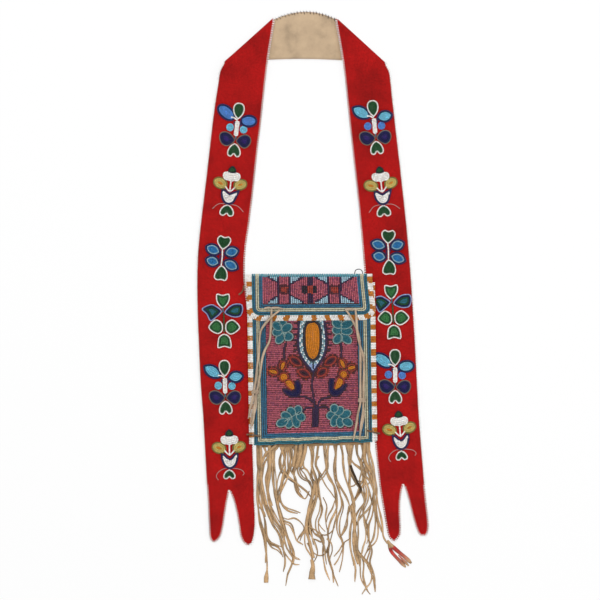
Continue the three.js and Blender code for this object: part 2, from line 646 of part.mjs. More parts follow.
// One bead flower on a leg, trimmed where the pouch lies over it
function strapFlower(side, curve, design, [y, shift], cover) {
  const shapes = [
    ...design.petals.map((petal) => petalShape(...petal)),
    ...design.discs.map((disc) => discShape(...disc)),
    ...design.bars.map((bar) => barShape(...bar)),
  ];
  const place = legPlace(side, curve, y);
  const plates = shapes.map((shape) => {
    const geometry = plate(shape, flowerLevel, FLOWER_HEIGHT);
    geometry.rotateZ(place.angle);
    geometry.translate(place.x + shift, y, 0);
    return geometry;
  });
  return toGeometry(largest(joined(plates).subtract(cover)));
}

function pouchCover() {
  const reach = pouchSide + 2 * SEAM_GAP + EDGING_WIDTH;
  const foot = -pouchTop - 2 * SEAM_GAP;
  const shape = boxShape(-reach, foot, reach, pouchTop + SEAM_GAP);
  return toSolid(layGeometry(plate(shape, 0, flapTop)));
}

// Pouch: how far the back is raised over the strap and fringe, and how full the front stands
function rimShare(distance) {
  return THREE.MathUtils.clamp((RIM_WIDTH + RIM_SLOPE - distance) / RIM_SLOPE, 0, 1);
}

function backRise(x, y) {
  return rimLevel * Math.max(rimShare(pouchSide - Math.abs(x)), rimShare(y + pouchTop));
}

function crownShare(distance) {
  return Math.sin((Math.PI / 2) * THREE.MathUtils.clamp(distance / CROWN_RUN, 0, 1));
}

function frontLevel(x, y) {
  return frontEdge + crown * crownShare(pouchSide - Math.abs(x)) * crownShare(y + pouchTop);
}

function mirrored(distances) {
  const ordered = [...new Set(distances)].sort((a, b) => a - b).map((d) => pouchSide - d);
  return [...ordered.map((x) => -x), ...ordered.reverse()];
}

function panel(xs, ys, level, low, high) {
  const layer = (offset) => ys.map((y) => (
    xs.map((x) => new THREE.Vector3(x, y, level(x, y) + offset))
  ));
  return slab(layer(low), layer(high));
}

function pouchPieces() {
  const rimLines = [0, RIM_WIDTH, RIM_WIDTH + RIM_SLOPE];
  const crownLines = [0, 1, 2, 3, 4].map((step) => (CROWN_RUN * step) / 4);
  const backYs = [...rimLines.map((d) => d - pouchTop), mouthY];
  const frontYs = [...crownLines.map((d) => d - pouchTop), mouthY];
  const back = panel(mirrored(rimLines), backYs, backRise, 0, BACK_THICKNESS);
  const frontXs = mirrored(crownLines);
  const front = panel(frontXs, frontYs, frontLevel, 0, FRONT_THICKNESS);
  const beads = toSolid(panel(frontXs, frontYs, frontLevel, frontBeads, frontBeads + BEAD_HEIGHT));
  const fieldX = pouchSide - BORDER_SIDE;
  const fieldY = BORDER_FOOT - pouchTop;
  const inside = boxShape(-fieldX, fieldY, fieldX, pouchTop);
  const opening = boxShape(-fieldX - SEAM_GAP, fieldY - SEAM_GAP, fieldX + SEAM_GAP, pouchTop);
  const field = beads.intersect(toSolid(plate(inside, 0, flapTop)));
  const border = beads.subtract(toSolid(plate(opening, 0, flapTop)));
  const edging = (side) => {
    const near = side * (pouchSide + SEAM_GAP);
    const far = side * (pouchSide + SEAM_GAP + EDGING_WIDTH);
    const shape = boxShape(Math.min(near, far), -pouchTop, Math.max(near, far), mouthY);
    return layGeometry(plate(shape, rimLevel, EDGING_HEIGHT));
  };
  return {
    back: layGeometry(back),
    front: layGeometry(front),
    field: layGeometry(toGeometry(field)),
    border: layGeometry(toGeometry(border)),
    edgingLeft: edging(-1),
    edgingRight: edging(1),
  };
}

// Flap: the path of its middle over the turn, at a given X, and the outward direction there
function flapPath(x) {
  const rise = rimLevel * rimShare(pouchSide - Math.abs(x));
  const low = BACK_THICKNESS / 2 + rise;
  const high = flapLevel + FLAP_THICKNESS / 2;
  const fullTurn = (high - BACK_THICKNESS / 2) / 2;
  const centreY = pouchTop - fullTurn - FLAP_THICKNESS / 2 - SEAM_GAP - BEAD_HEIGHT;
  const radius = (high - low) / 2;
  const stations = [{ y: mouthY + SEAM_GAP, z: low, outY: 0, outZ: -1 }];
  for (let i = 0; i <= FLAP_TURN_STEPS; i += 1) {
    const angle = Math.PI * (i / FLAP_TURN_STEPS - 0.5);
    const outY = Math.cos(angle);
    const outZ = Math.sin(angle);
    stations.push({ y: centreY + fullTurn * outY, z: low + radius * (1 + outZ), outY, outZ });
  }
  const drop = crown * (1 - crownShare(pouchSide - Math.abs(x)));
  [centreY - FLAP_SETTLE, flapFoot - SEAM_GAP - EDGING_WIDTH - FLAP_CORNER].forEach((y) => {
    stations.push({ y, z: high - drop, outY: 0, outZ: 1 });
  });
  return stations;
}

function flapLayer(xs, first, low, high) {
  const columns = xs.map((x) => flapPath(x).slice(first));
  const layer = (offset) => columns[0].map((unused, i) => xs.map((x, j) => {
    const station = columns[j][i];
    return new THREE.Vector3(x, station.y + station.outY * offset, station.z + station.outZ * offset);
  }));
  return toSolid(slab(layer(low), layer(high)));
}

// Outline of the flap, grown outwards by a distance, with its lower corners rounded
function flapShape(grow) {
  const side = pouchSide + grow;
  const foot = flapFoot - grow;
  const corner = FLAP_CORNER + grow;
  const top = pouchTop + FLAP_LENGTH;
  const shape = new THREE.Shape();
  shape.moveTo(-side, top);
  shape.lineTo(-side, foot + corner);
  shape.absarc(corner - side, foot + corner, corner, Math.PI, 1.5 * Math.PI, false);
  shape.absarc(side - corner, foot + corner, corner, 1.5 * Math.PI, 2 * Math.PI, false);
  shape.lineTo(side, top);
  shape.closePath();
  return toSolid(plate(shape, -flapTop, 3 * flapTop));
}

function flapPieces() {
  const lines = [0, RIM_WIDTH / 2, RIM_WIDTH, RIM_WIDTH + RIM_SLOPE, CROWN_RUN + RIM_SLOPE];
  const xs = mirrored(lines).reverse();
  const half = FLAP_THICKNESS / 2;
  const outline = flapShape(0);
  const ground = flapLayer(xs, 0, -half, half).intersect(outline);
  const bare = 1 + FLAP_BARE_STEPS;
  const beadLow = half + SEAM_GAP;
  const beads = flapLayer(xs, bare, beadLow, beadLow + BEAD_HEIGHT).intersect(outline);
  const fieldX = pouchSide - FLAP_BORDER_SIDE;
  const fieldY = flapFoot + FLAP_BORDER_FOOT;
  const top = pouchTop + FLAP_LENGTH;
  const inside = toSolid(plate(boxShape(-fieldX, fieldY, fieldX, top), 0, 2 * flapTop));
  const gap = boxShape(-fieldX - SEAM_GAP, fieldY - SEAM_GAP, fieldX + SEAM_GAP, top);
  const opening = toSolid(plate(gap, 0, 2 * flapTop));
  const reach = SEAM_GAP + EDGING_WIDTH;
  const edgeXs = mirrored([-reach, ...lines]).reverse();
  const settled = 1 + FLAP_TURN_STEPS;
  const edgeLayer = flapLayer(edgeXs, settled, -half, FLAP_EDGING_HEIGHT - half);
  const edging = edgeLayer.intersect(flapShape(reach)).subtract(flapShape(SEAM_GAP));
  const middleY = fieldY + FLAP_BARS[0][2] / 2 + FLAP_LINE / 2;
  const level = flapTop + SEAM_GAP;
  const figures = [...FLAP_BARS, ...FLAP_SQUARES].map(([x, width, height]) => (
    boxShape(x - width / 2, middleY - height / 2, x + width / 2, middleY + height / 2)
  ));
  const ends = [FLAP_BARS[0][0], FLAP_BARS.at(-1)[0]];
  figures.push(boxShape(ends[0], middleY - FLAP_LINE / 2, ends[1], middleY + FLAP_LINE / 2));
  const pattern = joined(figures.map((shape) => plate(shape, level, FLAP_PATTERN_HEIGHT)));
  return {
    ground: layGeometry(toGeometry(ground)),
    field: layGeometry(toGeometry(beads.intersect(inside))),
    border: layGeometry(toGeometry(beads.subtract(opening))),
    edging: layGeometry(toGeometry(edging)),
    pattern: layGeometry(toGeometry(pattern)),
  };
}

// Plant on the pouch: its points are X, and Y up from the plant's top
const plantTop = flapFoot - SEAM_GAP - EDGING_WIDTH - PLANT_DROP;
const plantLevel = fieldTop + SEAM_GAP;

function plantPlates(shapes) {
  const geometries = shapes.map((shape) => {
    const geometry = plate(shape, plantLevel, PLANT_HEIGHT);
    geometry.translate(0, plantTop, 0);
    return geometry;
  });
  return joined(geometries);
}

function blobShape(points) {
  const curve = new THREE.CatmullRomCurve3(points.map(([x, y]) => new THREE.Vector3(x, y, 0)), true);
  const shape = new THREE.Shape();
  curve.getPoints(2 * points.length).slice(0, -1).forEach((point, i) => {
    if (i === 0) {
      shape.moveTo(point.x, point.y);
    } else {
      shape.lineTo(point.x, point.y);
    }
  });
  shape.closePath();
  return shape;
}

function pathBars(points, width) {
  const bars = [];
  for (let i = 1; i < points.length; i += 1) {
    bars.push(barShape(points[i - 1], points[i], width));
    bars.push(discShape(...points[i], width / 2, width / 2));
  }
  return bars;
}

function plantPieces() {
  const bud = plantPlates([discShape(...PLANT_BUD)]);
  const [budX, budY, budHalfWidth, budHalfHeight] = PLANT_BUD;
  const room = discShape(budX, budY, budHalfWidth + SEAM_GAP, budHalfHeight + SEAM_GAP);
  const frame = plantPlates([blobShape(PLANT_FRAME)]).subtract(plantPlates([room]));
  const stem = plantPlates([
    boxShape(...PLANT_TRUNK),
    ...PLANT_BRANCHES.flatMap((points) => pathBars(points, STEM_WIDTH)),
  ]);
  const blossom = (side, x) => {
    const place = ([out, y]) => [x + side * out, y];
    const [dotX, dotY] = place(BLOSSOM_DOT);
    return plantPlates([
      blobShape(BLOSSOM_CUP.map(place)),
      blobShape(BLOSSOM_HEART.map(place)),
      discShape(dotX, dotY, BLOSSOM_DOT[2], BLOSSOM_DOT[2]),
      ...BLOSSOM_PRONGS.flatMap((points) => pathBars(points.map(place), STEM_WIDTH)),
      ...pathBars(BLOSSOM_STALK.map(place), FLAP_LINE),
    ]);
  };
  return {
    bud: toGeometry(bud),
    frame: toGeometry(frame),
    stem: toGeometry(stem),
    leaves: Object.entries(PLANT_LEAVES).map(([name, points]) => (
      [name, toGeometry(plantPlates([blobShape(points)]))]
    )),
    blossoms: [
      ["left", toGeometry(blossom(-1, BLOSSOM_X[0]))],
      ["right", toGeometry(blossom(1, BLOSSOM_X[1]))],
    ],
    smallLeaves: SMALL_LEAVES.map(([base, tip]) => (
      toGeometry(plantPlates([petalShape(base, tip, SMALL_LEAF_WIDTH, "leaf")]))
    )),
  };
}

// A round cord along a curve through the given points
function cord(points, diameter) {
  const path = new THREE.CatmullRomCurve3(points.map((point) => new THREE.Vector3(...point)));
  const shape = new THREE.Shape();
  shape.absellipse(0, 0, diameter / 2, diameter / 2, 0, 2 * Math.PI);
  const steps = Math.ceil(path.getLength() / (2.5 * diameter));
  const options = { steps, extrudePath: path, curveSegments: TUBE_SIDES / 2, bevelEnabled: false };
  return new THREE.ExtrudeGeometry(shape, options);
}

// Top of the pouch's beads or side edging at a point on it
function beadLevel(x, y) {
  return frontLevel(x, y) + frontBeads + BEAD_HEIGHT;
}

const knotHole = TIE_DIAMETER / 2 + KNOT_GAP;
const knotReach = knotHole + KNOT_WALL;

function tieHeight(x, y, kind) {
  const rest = 2 * SEAM_GAP + TIE_DIAMETER / 2;
  const above = TIE_DIAMETER + 2 * SEAM_GAP;
  const heights = {
    flap: flapTop + rest,
    over: flapTop + rest + above,
    edge: flapLevel + FLAP_EDGING_HEIGHT + rest,
    front: beadLevel(x, y) + rest,
    cross: beadLevel(x, y) + rest + above,
    knot: beadLevel(x, y) + 2 * SEAM_GAP + knotReach,
  };
  return heights[kind];
}

function tiePoints(side, route) {
  return route.map(([inset, dy, kind]) => {
    const x = side * (pouchSide - inset);
    const y = flapFoot + dy;
    return [x, y, tieHeight(x, y, kind)];
  });
}

function stadium(target, halfLength, radius) {
  target.absarc(halfLength, 0, radius, -Math.PI / 2, Math.PI / 2, false);
  target.absarc(-halfLength, 0, radius, Math.PI / 2, 1.5 * Math.PI, false);
  return target;
}

// The wrap that gathers a pair of ties, where both routes are marked with a knot
function knot(side, routes) {
  const ends = Object.values(routes).map((route) => {
    const marked = tiePoints(side, route.filter((point) => point[2] === "knot"));
    return marked.map((point) => new THREE.Vector3(...point));
  });
  const heads = ends.map((pair) => pair[0].clone().lerp(pair[1], 0.5));
  const middle = heads[0].clone().lerp(heads[1], 0.5);
  const run = ends[0][1].clone().sub(ends[0][0]);
  const halfSpan = heads[0].distanceTo(heads[1]) / 2;
  const shape = stadium(new THREE.Shape(), halfSpan, knotReach);
  shape.closePath();
  const hole = stadium(new THREE.Path(), halfSpan, knotHole);
  hole.closePath();
  shape.holes.push(hole);
  const geometry = plate(shape, -KNOT_LENGTH / 2, KNOT_LENGTH);
  geometry.rotateX(Math.PI / 2);
  geometry.rotateZ(Math.atan2(run.x, -run.y));
  geometry.translate(middle.x, middle.y, middle.z);
  return geometry;
}

function smallTies() {
  const rest = 2 * SEAM_GAP + SMALL_TIE / 2;
  const foot = -pouchTop;
  const onStrap = strapThickness + rest;
  const onEdging = beadLevel(pouchSide, foot) + rest;
  const sideX = pouchSide + EDGING_WIDTH + SEAM_GAP + SMALL_TIE;
  const onBeads = (x, y) => [x, y, beadLevel(x, y) + rest];
  return {
    tie_corner_left: cord([
      [-sideX + POUCH_LEAN / 2, foot + 11, onStrap], [-sideX + 3, foot + 11, onEdging],
      [-sideX + 8, foot + 10.5, onEdging], onBeads(-pouchSide + 5, foot + 9.5),
      onBeads(-pouchSide + 9, foot + 9),
    ], SMALL_TIE),
    tie_corner_right: cord([
      onBeads(pouchSide - 5, foot + 16), onBeads(pouchSide - 1, foot + 15),
      [sideX - 4, foot + 13.5, onEdging], [sideX, foot + 12.5, onEdging],
      [sideX + 2, foot + 12, onStrap],
    ], SMALL_TIE),
    tie_upper_left: cord([
      [-sideX - 9, mouthY - 16, onStrap], [-sideX - 5, mouthY - 13, onStrap],
      [-sideX - 2.8, mouthY - 9, onStrap], [-sideX - 3, mouthY - 5, onStrap],
    ], SMALL_TIE),
  };
}

function threadLoop() {
  const y = pouchTop + SEAM_GAP + THREAD_DIAMETER / 2;
  const z = flapLevel * 0.7;
  const points = THREAD_LOOP.map(([inset, up, drop]) => [pouchSide - inset, y + up, z - drop]);
  return cord(points, THREAD_DIAMETER);
}

// Fringe: a head under the pouch's foot, and thongs that lie in a few layers below it
function thong(side, route, index) {
  const headZ = rimLevel - SEAM_GAP - HIDE_THICKNESS;
  const points = route.map(([inset, dy]) => (
    new THREE.Vector3(side * (pouchSide - inset), dy - pouchTop, 0)
  ));
  const root = points[0].clone();
  root.y += HEAD_LENGTH / 2;
  const path = new THREE.CatmullRomCurve3([root, ...points]);
  const length = path.getLength();
  const runIn = THONG_RUN_IN / 2;
  const steps = Math.ceil((length - runIn) / THONG_STEP);
  const layerZ = (index % THONG_LAYERS) * (HIDE_THICKNESS + SEAM_GAP);
  const low = [];
  for (let i = -1; i <= steps; i += 1) {
    const reached = i < 0 ? 0 : THREE.MathUtils.lerp(runIn, length, i / steps);
    const share = Math.min(reached / length, 1);
    const point = path.getPointAt(share);
    const along = path.getTangentAt(share);
    const tab = side < 0 && TAB_THONGS.includes(index) && share > 0.85;
    const half = (tab ? TAB_WIDTH : THONG_WIDTH) / 2;
    const fromRoot = ease((share * length) / THONG_RUN_IN - 0.5);
    const toTip = ease(((1 - share) * length) / THONG_RUN_IN);
    const z = THREE.MathUtils.lerp(headZ, layerZ * toTip, fromRoot);
    const across = new THREE.Vector3(along.y, -along.x, 0);
    low.push([-half, half].map((out) => {
      const edge = point.clone().addScaledVector(across, out);
      edge.z = z;
      return edge;
    }));
  }
  const high = low.map((row) => row.map((edge) => edge.clone().setZ(edge.z + HIDE_THICKNESS)));
  return slab(low, high);
}

function fringe() {
  const headZ = rimLevel - SEAM_GAP - HIDE_THICKNESS;
  const reach = pouchSide - HEAD_INSET;
  const head = plate(boxShape(-reach, -pouchTop, reach, HEAD_LENGTH - pouchTop), headZ, HIDE_THICKNESS);
  const thongs = [
    ...LEFT_THONGS.map((route, i) => thong(-1, route, i)),
    ...RIGHT_THONGS.map((route, i) => thong(1, route, i)),
  ];
  return toGeometry(largest(joined([layGeometry(head), ...thongs])));
}

const bag = new THREE.Group();
bag.name = "bandolier_bag";

function addPiece(name, geometry, look) {
  const mesh = new THREE.Mesh(geometry, new THREE.MeshStandardMaterial(look));
  mesh.name = name;
  bag.add(mesh);
}

const strap = strapPieces();
addPiece("strap_cloth", strap.cloth, RED_CLOTH);
addPiece("strap_lining", strap.lining, LINING_CLOTH);
addPiece("strap_edging_inner", strap.inside, WHITE_BEADS);
addPiece("strap_edging_outer", strap.outside, WHITE_BEADS);

const cover = pouchCover();
const legs = [["left", -1, LEFT_LEG, LEFT_FLOWERS], ["right", 1, RIGHT_LEG, RIGHT_FLOWERS]];
legs.forEach(([name, side, route, stations]) => {
  const curve = legCurve(side, route);
  stations.forEach((station, i) => {
    const flower = strapFlower(side, curve, FLOWER_ORDER[i], station, cover);
    addPiece(`${name}_strap_flower_${i + 1}`, flower, GREEN_BEADS);
  });
});

const pouch = pouchPieces();
addPiece("pouch_back", pouch.back, BUCKSKIN);
addPiece("pouch_front", pouch.front, BUCKSKIN);
addPiece("pouch_field", pouch.field, ROSE_BEADS);
addPiece("pouch_border", pouch.border, BLUE_BEADS);
addPiece("pouch_edging_left", pouch.edgingLeft, WHITE_BEADS);
addPiece("pouch_edging_right", pouch.edgingRight, WHITE_BEADS);

const plant = plantPieces();
addPiece("plant_bud", plant.bud, GOLD_BEADS);
addPiece("plant_bud_frame", plant.frame, SKY_BEADS);
addPiece("plant_stem", plant.stem, TEAL_BEADS);
plant.leaves.forEach(([name, geometry]) => addPiece(`plant_leaf_${name}`, geometry, TEAL_BEADS));
plant.blossoms.forEach(([name, geometry]) => addPiece(`plant_blossom_${name}`, geometry, PURPLE_BEADS));
plant.smallLeaves.forEach((geometry, i) => addPiece(`plant_small_leaf_${i + 1}`, geometry, PURPLE_BEADS));

const flap = flapPieces();
addPiece("flap", flap.ground, BUCKSKIN);
addPiece("flap_field", flap.field, ROSE_BEADS);
addPiece("flap_border", flap.border, BLUE_BEADS);
addPiece("flap_pattern", flap.pattern, PURPLE_BEADS);
addPiece("flap_edging", flap.edging, WHITE_BEADS);

addPiece("fringe", fringe(), BUCKSKIN);

[["left", -1, LEFT_TIES], ["right", 1, RIGHT_TIES]].forEach(([name, side, routes]) => {
  Object.entries(routes).forEach(([tie, route]) => {
    addPiece(tie, cord(tiePoints(side, route), TIE_DIAMETER), PALE_HIDE);
  });
  addPiece(`tie_knot_${name}`, knot(side, routes), PALE_HIDE);
});
Object.entries(smallTies()).forEach(([name, geometry]) => addPiece(name, geometry, DARK_HIDE));
addPiece("thread_loop", threadLoop(), DARK_HIDE);

export default bag;
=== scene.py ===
"""Looks of a beaded bandolier bag that lies face up, laid out as a Blender add-on."""

import math

import bmesh
import bpy
import numpy as np
from bpy.props import FloatProperty, FloatVectorProperty, IntProperty, PointerProperty
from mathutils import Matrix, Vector


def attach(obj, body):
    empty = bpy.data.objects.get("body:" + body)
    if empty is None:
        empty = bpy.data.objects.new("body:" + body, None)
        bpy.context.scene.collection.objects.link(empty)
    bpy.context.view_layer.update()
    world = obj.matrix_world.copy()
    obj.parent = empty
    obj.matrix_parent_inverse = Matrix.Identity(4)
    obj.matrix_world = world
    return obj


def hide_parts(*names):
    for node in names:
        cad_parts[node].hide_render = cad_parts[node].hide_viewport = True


bl_info = {
    "name": "Beaded bandolier bag",
    "version": (1, 0, 0),
    "blender": (4, 5, 0),
    "location": "View3D > Sidebar > Bag",
    "description": "Makes the cloth, hide and bead pieces of a bandolier bag",
    "category": "Add Mesh",
}

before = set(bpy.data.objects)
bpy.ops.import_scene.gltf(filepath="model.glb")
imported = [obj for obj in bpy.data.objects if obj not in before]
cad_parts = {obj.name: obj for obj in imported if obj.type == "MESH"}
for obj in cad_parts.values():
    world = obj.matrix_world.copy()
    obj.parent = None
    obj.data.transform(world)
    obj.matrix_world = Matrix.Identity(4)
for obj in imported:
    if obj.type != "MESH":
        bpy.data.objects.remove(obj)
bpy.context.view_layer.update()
MM = 0.001
SEED = 20

# Strap edges, in mm: Y, X of the outer edge and X of the inner edge, from the fork to the fold
LEFT_EDGES = [
    (-157.8, -126.0, -69.6), (-114.6, -128.4, -70.8), (-71.4, -130.8, -72.4),
    (-28.2, -134.0, -73.6), (15.0, -136.0, -74.6), (58.2, -137.6, -76.4),
    (101.4, -138.0, -80.6), (130.2, -136.8, -79.6), (159.0, -134.0, -75.6),
    (202.2, -128.8, -70.2), (245.4, -123.8, -65.6), (288.6, -118.8, -60.4),
    (317.4, -114.8, -57.4), (330.0, -112.6, -56.1), (346.2, -109.6, -54.2), (354.4, -105.0, -53.2),
    (406.7, -105.0, -45.1),
]
RIGHT_EDGES = [
    (-150.6, 135.0, 80.6), (-114.6, 132.0, 76.8), (-71.4, 128.6, 73.0),
    (-28.2, 126.2, 70.2), (15.0, 124.0, 67.8), (58.2, 121.4, 65.4),
    (101.4, 118.6, 63.0), (144.6, 115.0, 59.4), (187.8, 110.6, 55.2),
    (231.0, 105.8, 50.4), (274.2, 100.8, 45.6), (317.4, 96.0, 41.2),
    (330.0, 94.6, 40.0), (345.0, 92.1, 38.3), (352.8, 88.0, 37.3), (406.7, 88.0, 28.2),
]
LEFT_FOLD = ((-105.0, 354.4), (-45.1, 406.7))
RIGHT_FOLD = ((88.0, 352.8), (28.2, 406.7))
# At the neck's middle: X, and Y of its lower and its upper edge
NECK_MIDDLE = (-6.0, 359.4, 415.8)
# The rows lie level up to this Y, and then lean to meet the fold
SKEW_FROM = 296.0
# The legs rise from their own level to the fold's between these Y
RISE = (312.0, 352.0)
LEG_LEVEL = 0.85
FOLD_RISE = 3.3
FOLD_RADIUS = 1.25
# Shares of the radius by which a fold's outer and inner end swell
FOLD_PINCH = (0.0, 0.5)
FOLD_SLIDE = 3.2
# Rows of points on a leg's level and leaning parts, a fold, the neck and a prong, and columns across
LEG_ROWS, SKEW_ROWS, FOLD_ROWS, NECK_ROWS, PRONG_ROWS = 120, 34, 15, 42, 26
STRAP_COLUMNS = 16
# Where the left and the right fork start, as a share of the strap's width
NOTCHES = (0.479, 0.463)
# Inset, offset from the strap's middle plane, waviness and seed of each cloth
WOOL_LAY = (0.0, 0.9, 0.12, 1)
LINING_LAY = (0.2, -0.5, 0.05, 2)
# Widths that the cloths were cut to, in metres, and the length of both tails together, in mm
WOOL_WIDTH, LINING_WIDTH = 0.0565, 0.055
TAILS = 130
CLOTH_TOP = 2.5
# An edge below this height belongs to the neck
NECK_LEVEL = 1.2
# How far out from the edge, and above the cloth's middle, a stitch's two beads lie
EDGE_STITCH = ((-1.2, 1.05), (0.05, 0.9))
# Slack stitches lie this much further out: those of the outer edges, this far from the middle and
# above a level, and those of the left tail's inner edge, right of an X and below a level
SLACK = 1.1
SLACK_OUTER = (85.0, -150.0)
SLACK_TAIL = (-75.5, -95.0)

# Prongs of the forked tails: Y, X of the side nearer the strap's outer edge, X of the other side
LEFT_PRONGS = [
    [(-220.2, -119.2, -116.0), (-217.5, -121.8, -112.4), (-212.0, -123.4, -108.8),
     (-201.0, -123.8, -106.2), (-186.6, -124.6, -104.2), (-172.2, -125.0, -102.0),
     (-163.0, -125.6, -100.0)],
    [(-223.8, -78.6, -75.0), (-220.5, -82.6, -72.0), (-213.0, -86.2, -69.8),
     (-201.0, -87.8, -68.4), (-186.6, -90.2, -68.4), (-172.2, -93.6, -69.2),
     (-163.0, -96.8, -69.6)],
]
RIGHT_PRONGS = [
    [(-212.5, 136.4, 130.0), (-209.5, 138.8, 127.4), (-201.0, 140.3, 124.0),
     (-186.6, 139.0, 120.0), (-172.2, 137.2, 116.4), (-160.0, 136.0, 113.0),
     (-154.5, 135.4, 111.2)],
    [(-219.0, 99.8, 96.6), (-216.0, 103.0, 93.2), (-211.0, 106.2, 90.8),
     (-201.0, 106.6, 88.8), (-186.6, 105.8, 86.4), (-172.2, 105.8, 84.0),
     (-157.0, 107.8, 81.4)],
]

# Lay of the pouch and flap, in mm
POUCH_SIDE = 71.0
POUCH_TOP = 102.0
POUCH_LEAN = 3.0
POUCH_SLANT = 4.0
MOUTH_Y = 92.5
FRONT_EDGE = 4.3
CROWN = 2.1
CROWN_RUN = 24.0
# Height of the back's raised rim, its width and the run of its slope
RIM = (2.8, 13.0, 8.0)
FLAP_FOOT = 52.0
FLAP_MID = 10.5
TURN_Y = 94.25
TURN_RADIUS = 4.95
FLAP_CORNER = 9.5
BACKING = 1.2


def tone(name, description, red, green, blue):
    """A colour property, given as it looks on a screen."""
    return FloatVectorProperty(
        name=name, description=description, subtype="COLOR_GAMMA", size=3, min=0.0, max=1.0,
        default=(red / 255, green / 255, blue / 255),
    )


def length(name, description, default):
    """A length property, in metres."""
    return FloatProperty(name=name, description=description, default=default, min=0.0, unit="LENGTH")


class BagSizes(bpy.types.PropertyGroup):
    """Sizes of the beads, cloth and hide"""
    bead_length: length("Bead length", "Length of a seed bead along its thread", 0.00172)
    bead_diameter: length("Bead diameter", "Diameter of a seed bead", 0.0021)
    row_pitch: length("Row pitch", "Distance between rows of beads", 0.00225)
    edge_pitch: length("Edge pitch", "Distance between the strap's edge beads", 0.0028)
    cloth_thickness: length("Wool thickness", "Thickness of the strap's wool", 0.0015)
    lining_thickness: length("Lining thickness", "Thickness of the strap's cotton lining", 0.0007)
    hide_thickness: length("Hide thickness", "Thickness of the hide panels and thongs", 0.0012)
    thong_width: length("Thong width", "Width of a thong of the fringe", 0.0022)
    tie_width: length("Tie width", "Width of a hide tie on the flap", 0.0029)
    bead_sides: IntProperty(name="Bead sides", description="Sides around a bead", default=7, min=5, max=12)


class BagColours(bpy.types.PropertyGroup):
    """Colours of the beads, cloth and hide"""
    wool: tone("Wool", "Red cloth of the strap", 175, 21, 20)
    cotton: tone("Cotton", "Lining of the strap", 205, 180, 150)
    buckskin: tone("Buckskin", "Hide of the fringe and panels", 196, 162, 122)
    pale_hide: tone("Pale hide", "Hide of the flap's ties", 190, 169, 147)
    dark_hide: tone("Dark hide", "Worn hide of the small ties", 120, 92, 66)
    red_paint: tone("Red paint", "Paint on one thong's tip", 186, 58, 54)
    # The neck's dark stitches stand both for thread and for painted shadow between the edge beads
    seam: tone("Seam", "Dark thread of the neck's stitches", 84, 70, 64)
    thread: tone("Thread", "Thread and backing between the beads", 96, 66, 60)
    white: tone("White", "White beads", 252, 247, 242)
    cream: tone("Cream", "Cream beads", 200, 196, 168)
    orange: tone("Orange", "Orange beads", 200, 122, 28)
    gold: tone("Gold", "Gold beads", 212, 130, 16)
    rose: tone("Rose", "Rose beads", 186, 92, 108)
    plum: tone("Plum", "Darker rose beads", 152, 74, 100)
    blue: tone("Blue", "Border blue beads", 42, 108, 140)
    teal: tone("Teal", "Border and leaf teal beads", 34, 110, 126)
    lagoon: tone("Lagoon", "Light teal beads", 70, 150, 165)
    sky: tone("Sky", "Pale blue beads", 160, 196, 212)
    mist: tone("Mist", "Grey-green beads", 156, 184, 180)
    azure: tone("Azure", "Blue leaf beads", 84, 140, 214)
    cyan: tone("Cyan", "Light blue leaf beads", 116, 196, 222)
    cobalt: tone("Cobalt", "Deep blue leaf beads", 32, 118, 176)
    navy: tone("Navy", "Navy beads", 4, 3, 74)
    violet: tone("Violet", "Violet beads", 44, 16, 108)
    grape: tone("Grape", "Dark purple beads", 46, 26, 66)
    black: tone("Black", "Blue-black beads", 22, 22, 40)
    green: tone("Green", "Deep green beads", 14, 76, 32)
    leaf: tone("Leaf", "Mid green beads", 52, 122, 62)
    olive: tone("Olive", "Pale olive beads", 206, 186, 104)
    moss: tone("Moss", "Dark olive beads", 122, 112, 52)
    brick: tone("Brick", "Red-brown beads", 170, 60, 46)
    wine: tone("Wine", "Dark wine beads", 84, 30, 44)
    grey: tone("Grey", "Grey-tan beads", 124, 116, 100)
    lilac: tone("Lilac", "Pale lilac beads", 160, 182, 226)
    slate: tone("Slate", "Grey-blue beads", 96, 132, 144)
    blush: tone("Blush", "Pink-grey thread", 196, 150, 146)


def linear(colour):
    """A screen colour as linear values."""
    values = np.asarray(colour, float)
    return np.where(values <= 0.04045, values / 12.92, ((values + 0.055) / 1.055) ** 2.4)


def unit(rows):
    """Rows of numbers, each scaled to a length of one."""
    return rows / np.linalg.norm(rows, axis=1, keepdims=True)


def distances(points):
    """How far along a line of points each of them lies."""
    return np.concatenate([[0.0], np.cumsum(np.linalg.norm(np.diff(points, axis=0), axis=1))])


def line_length(points):
    return np.linalg.norm(np.diff(points, axis=0), axis=1).sum()


def at_height(plan, height):
    """Points of a plan, all given one height."""
    return np.column_stack([plan, np.full(len(plan), height)])


def rounded_path(points, step, closed=False):
    """A smooth curve through the points, as even steps, with its directions."""
    pts = np.asarray(points, float)
    if closed:
        ends = (pts[-1], pts[0], pts[1])
    else:
        ends = (2 * pts[0] - pts[1], 2 * pts[-1] - pts[-2], None)
    run = [ends[0], *pts, ends[1]] + ([ends[2]] if closed else [])
    fine = []
    for a, b, c, d in zip(run, run[1:], run[2:], run[3:]):
        gaps = [max(math.sqrt(np.linalg.norm(q - p)), 1e-3) for p, q in ((a, b), (b, c), (c, d))]
        m1 = ((b - a) / gaps[0] - (c - a) / (gaps[0] + gaps[1]) + (c - b) / gaps[1]) * gaps[1]
        m2 = ((c - b) / gaps[1] - (d - b) / (gaps[1] + gaps[2]) + (d - c) / gaps[2]) * gaps[1]
        for t in np.linspace(0, 1, 13)[:-1]:
            fine.append(b + m1 * t + (3 * (c - b) - 2 * m1 - m2) * t**2 + (2 * (b - c) + m1 + m2) * t**3)
    fine.append(pts[0] if closed else pts[-1])
    return even_steps(np.array(fine), step)


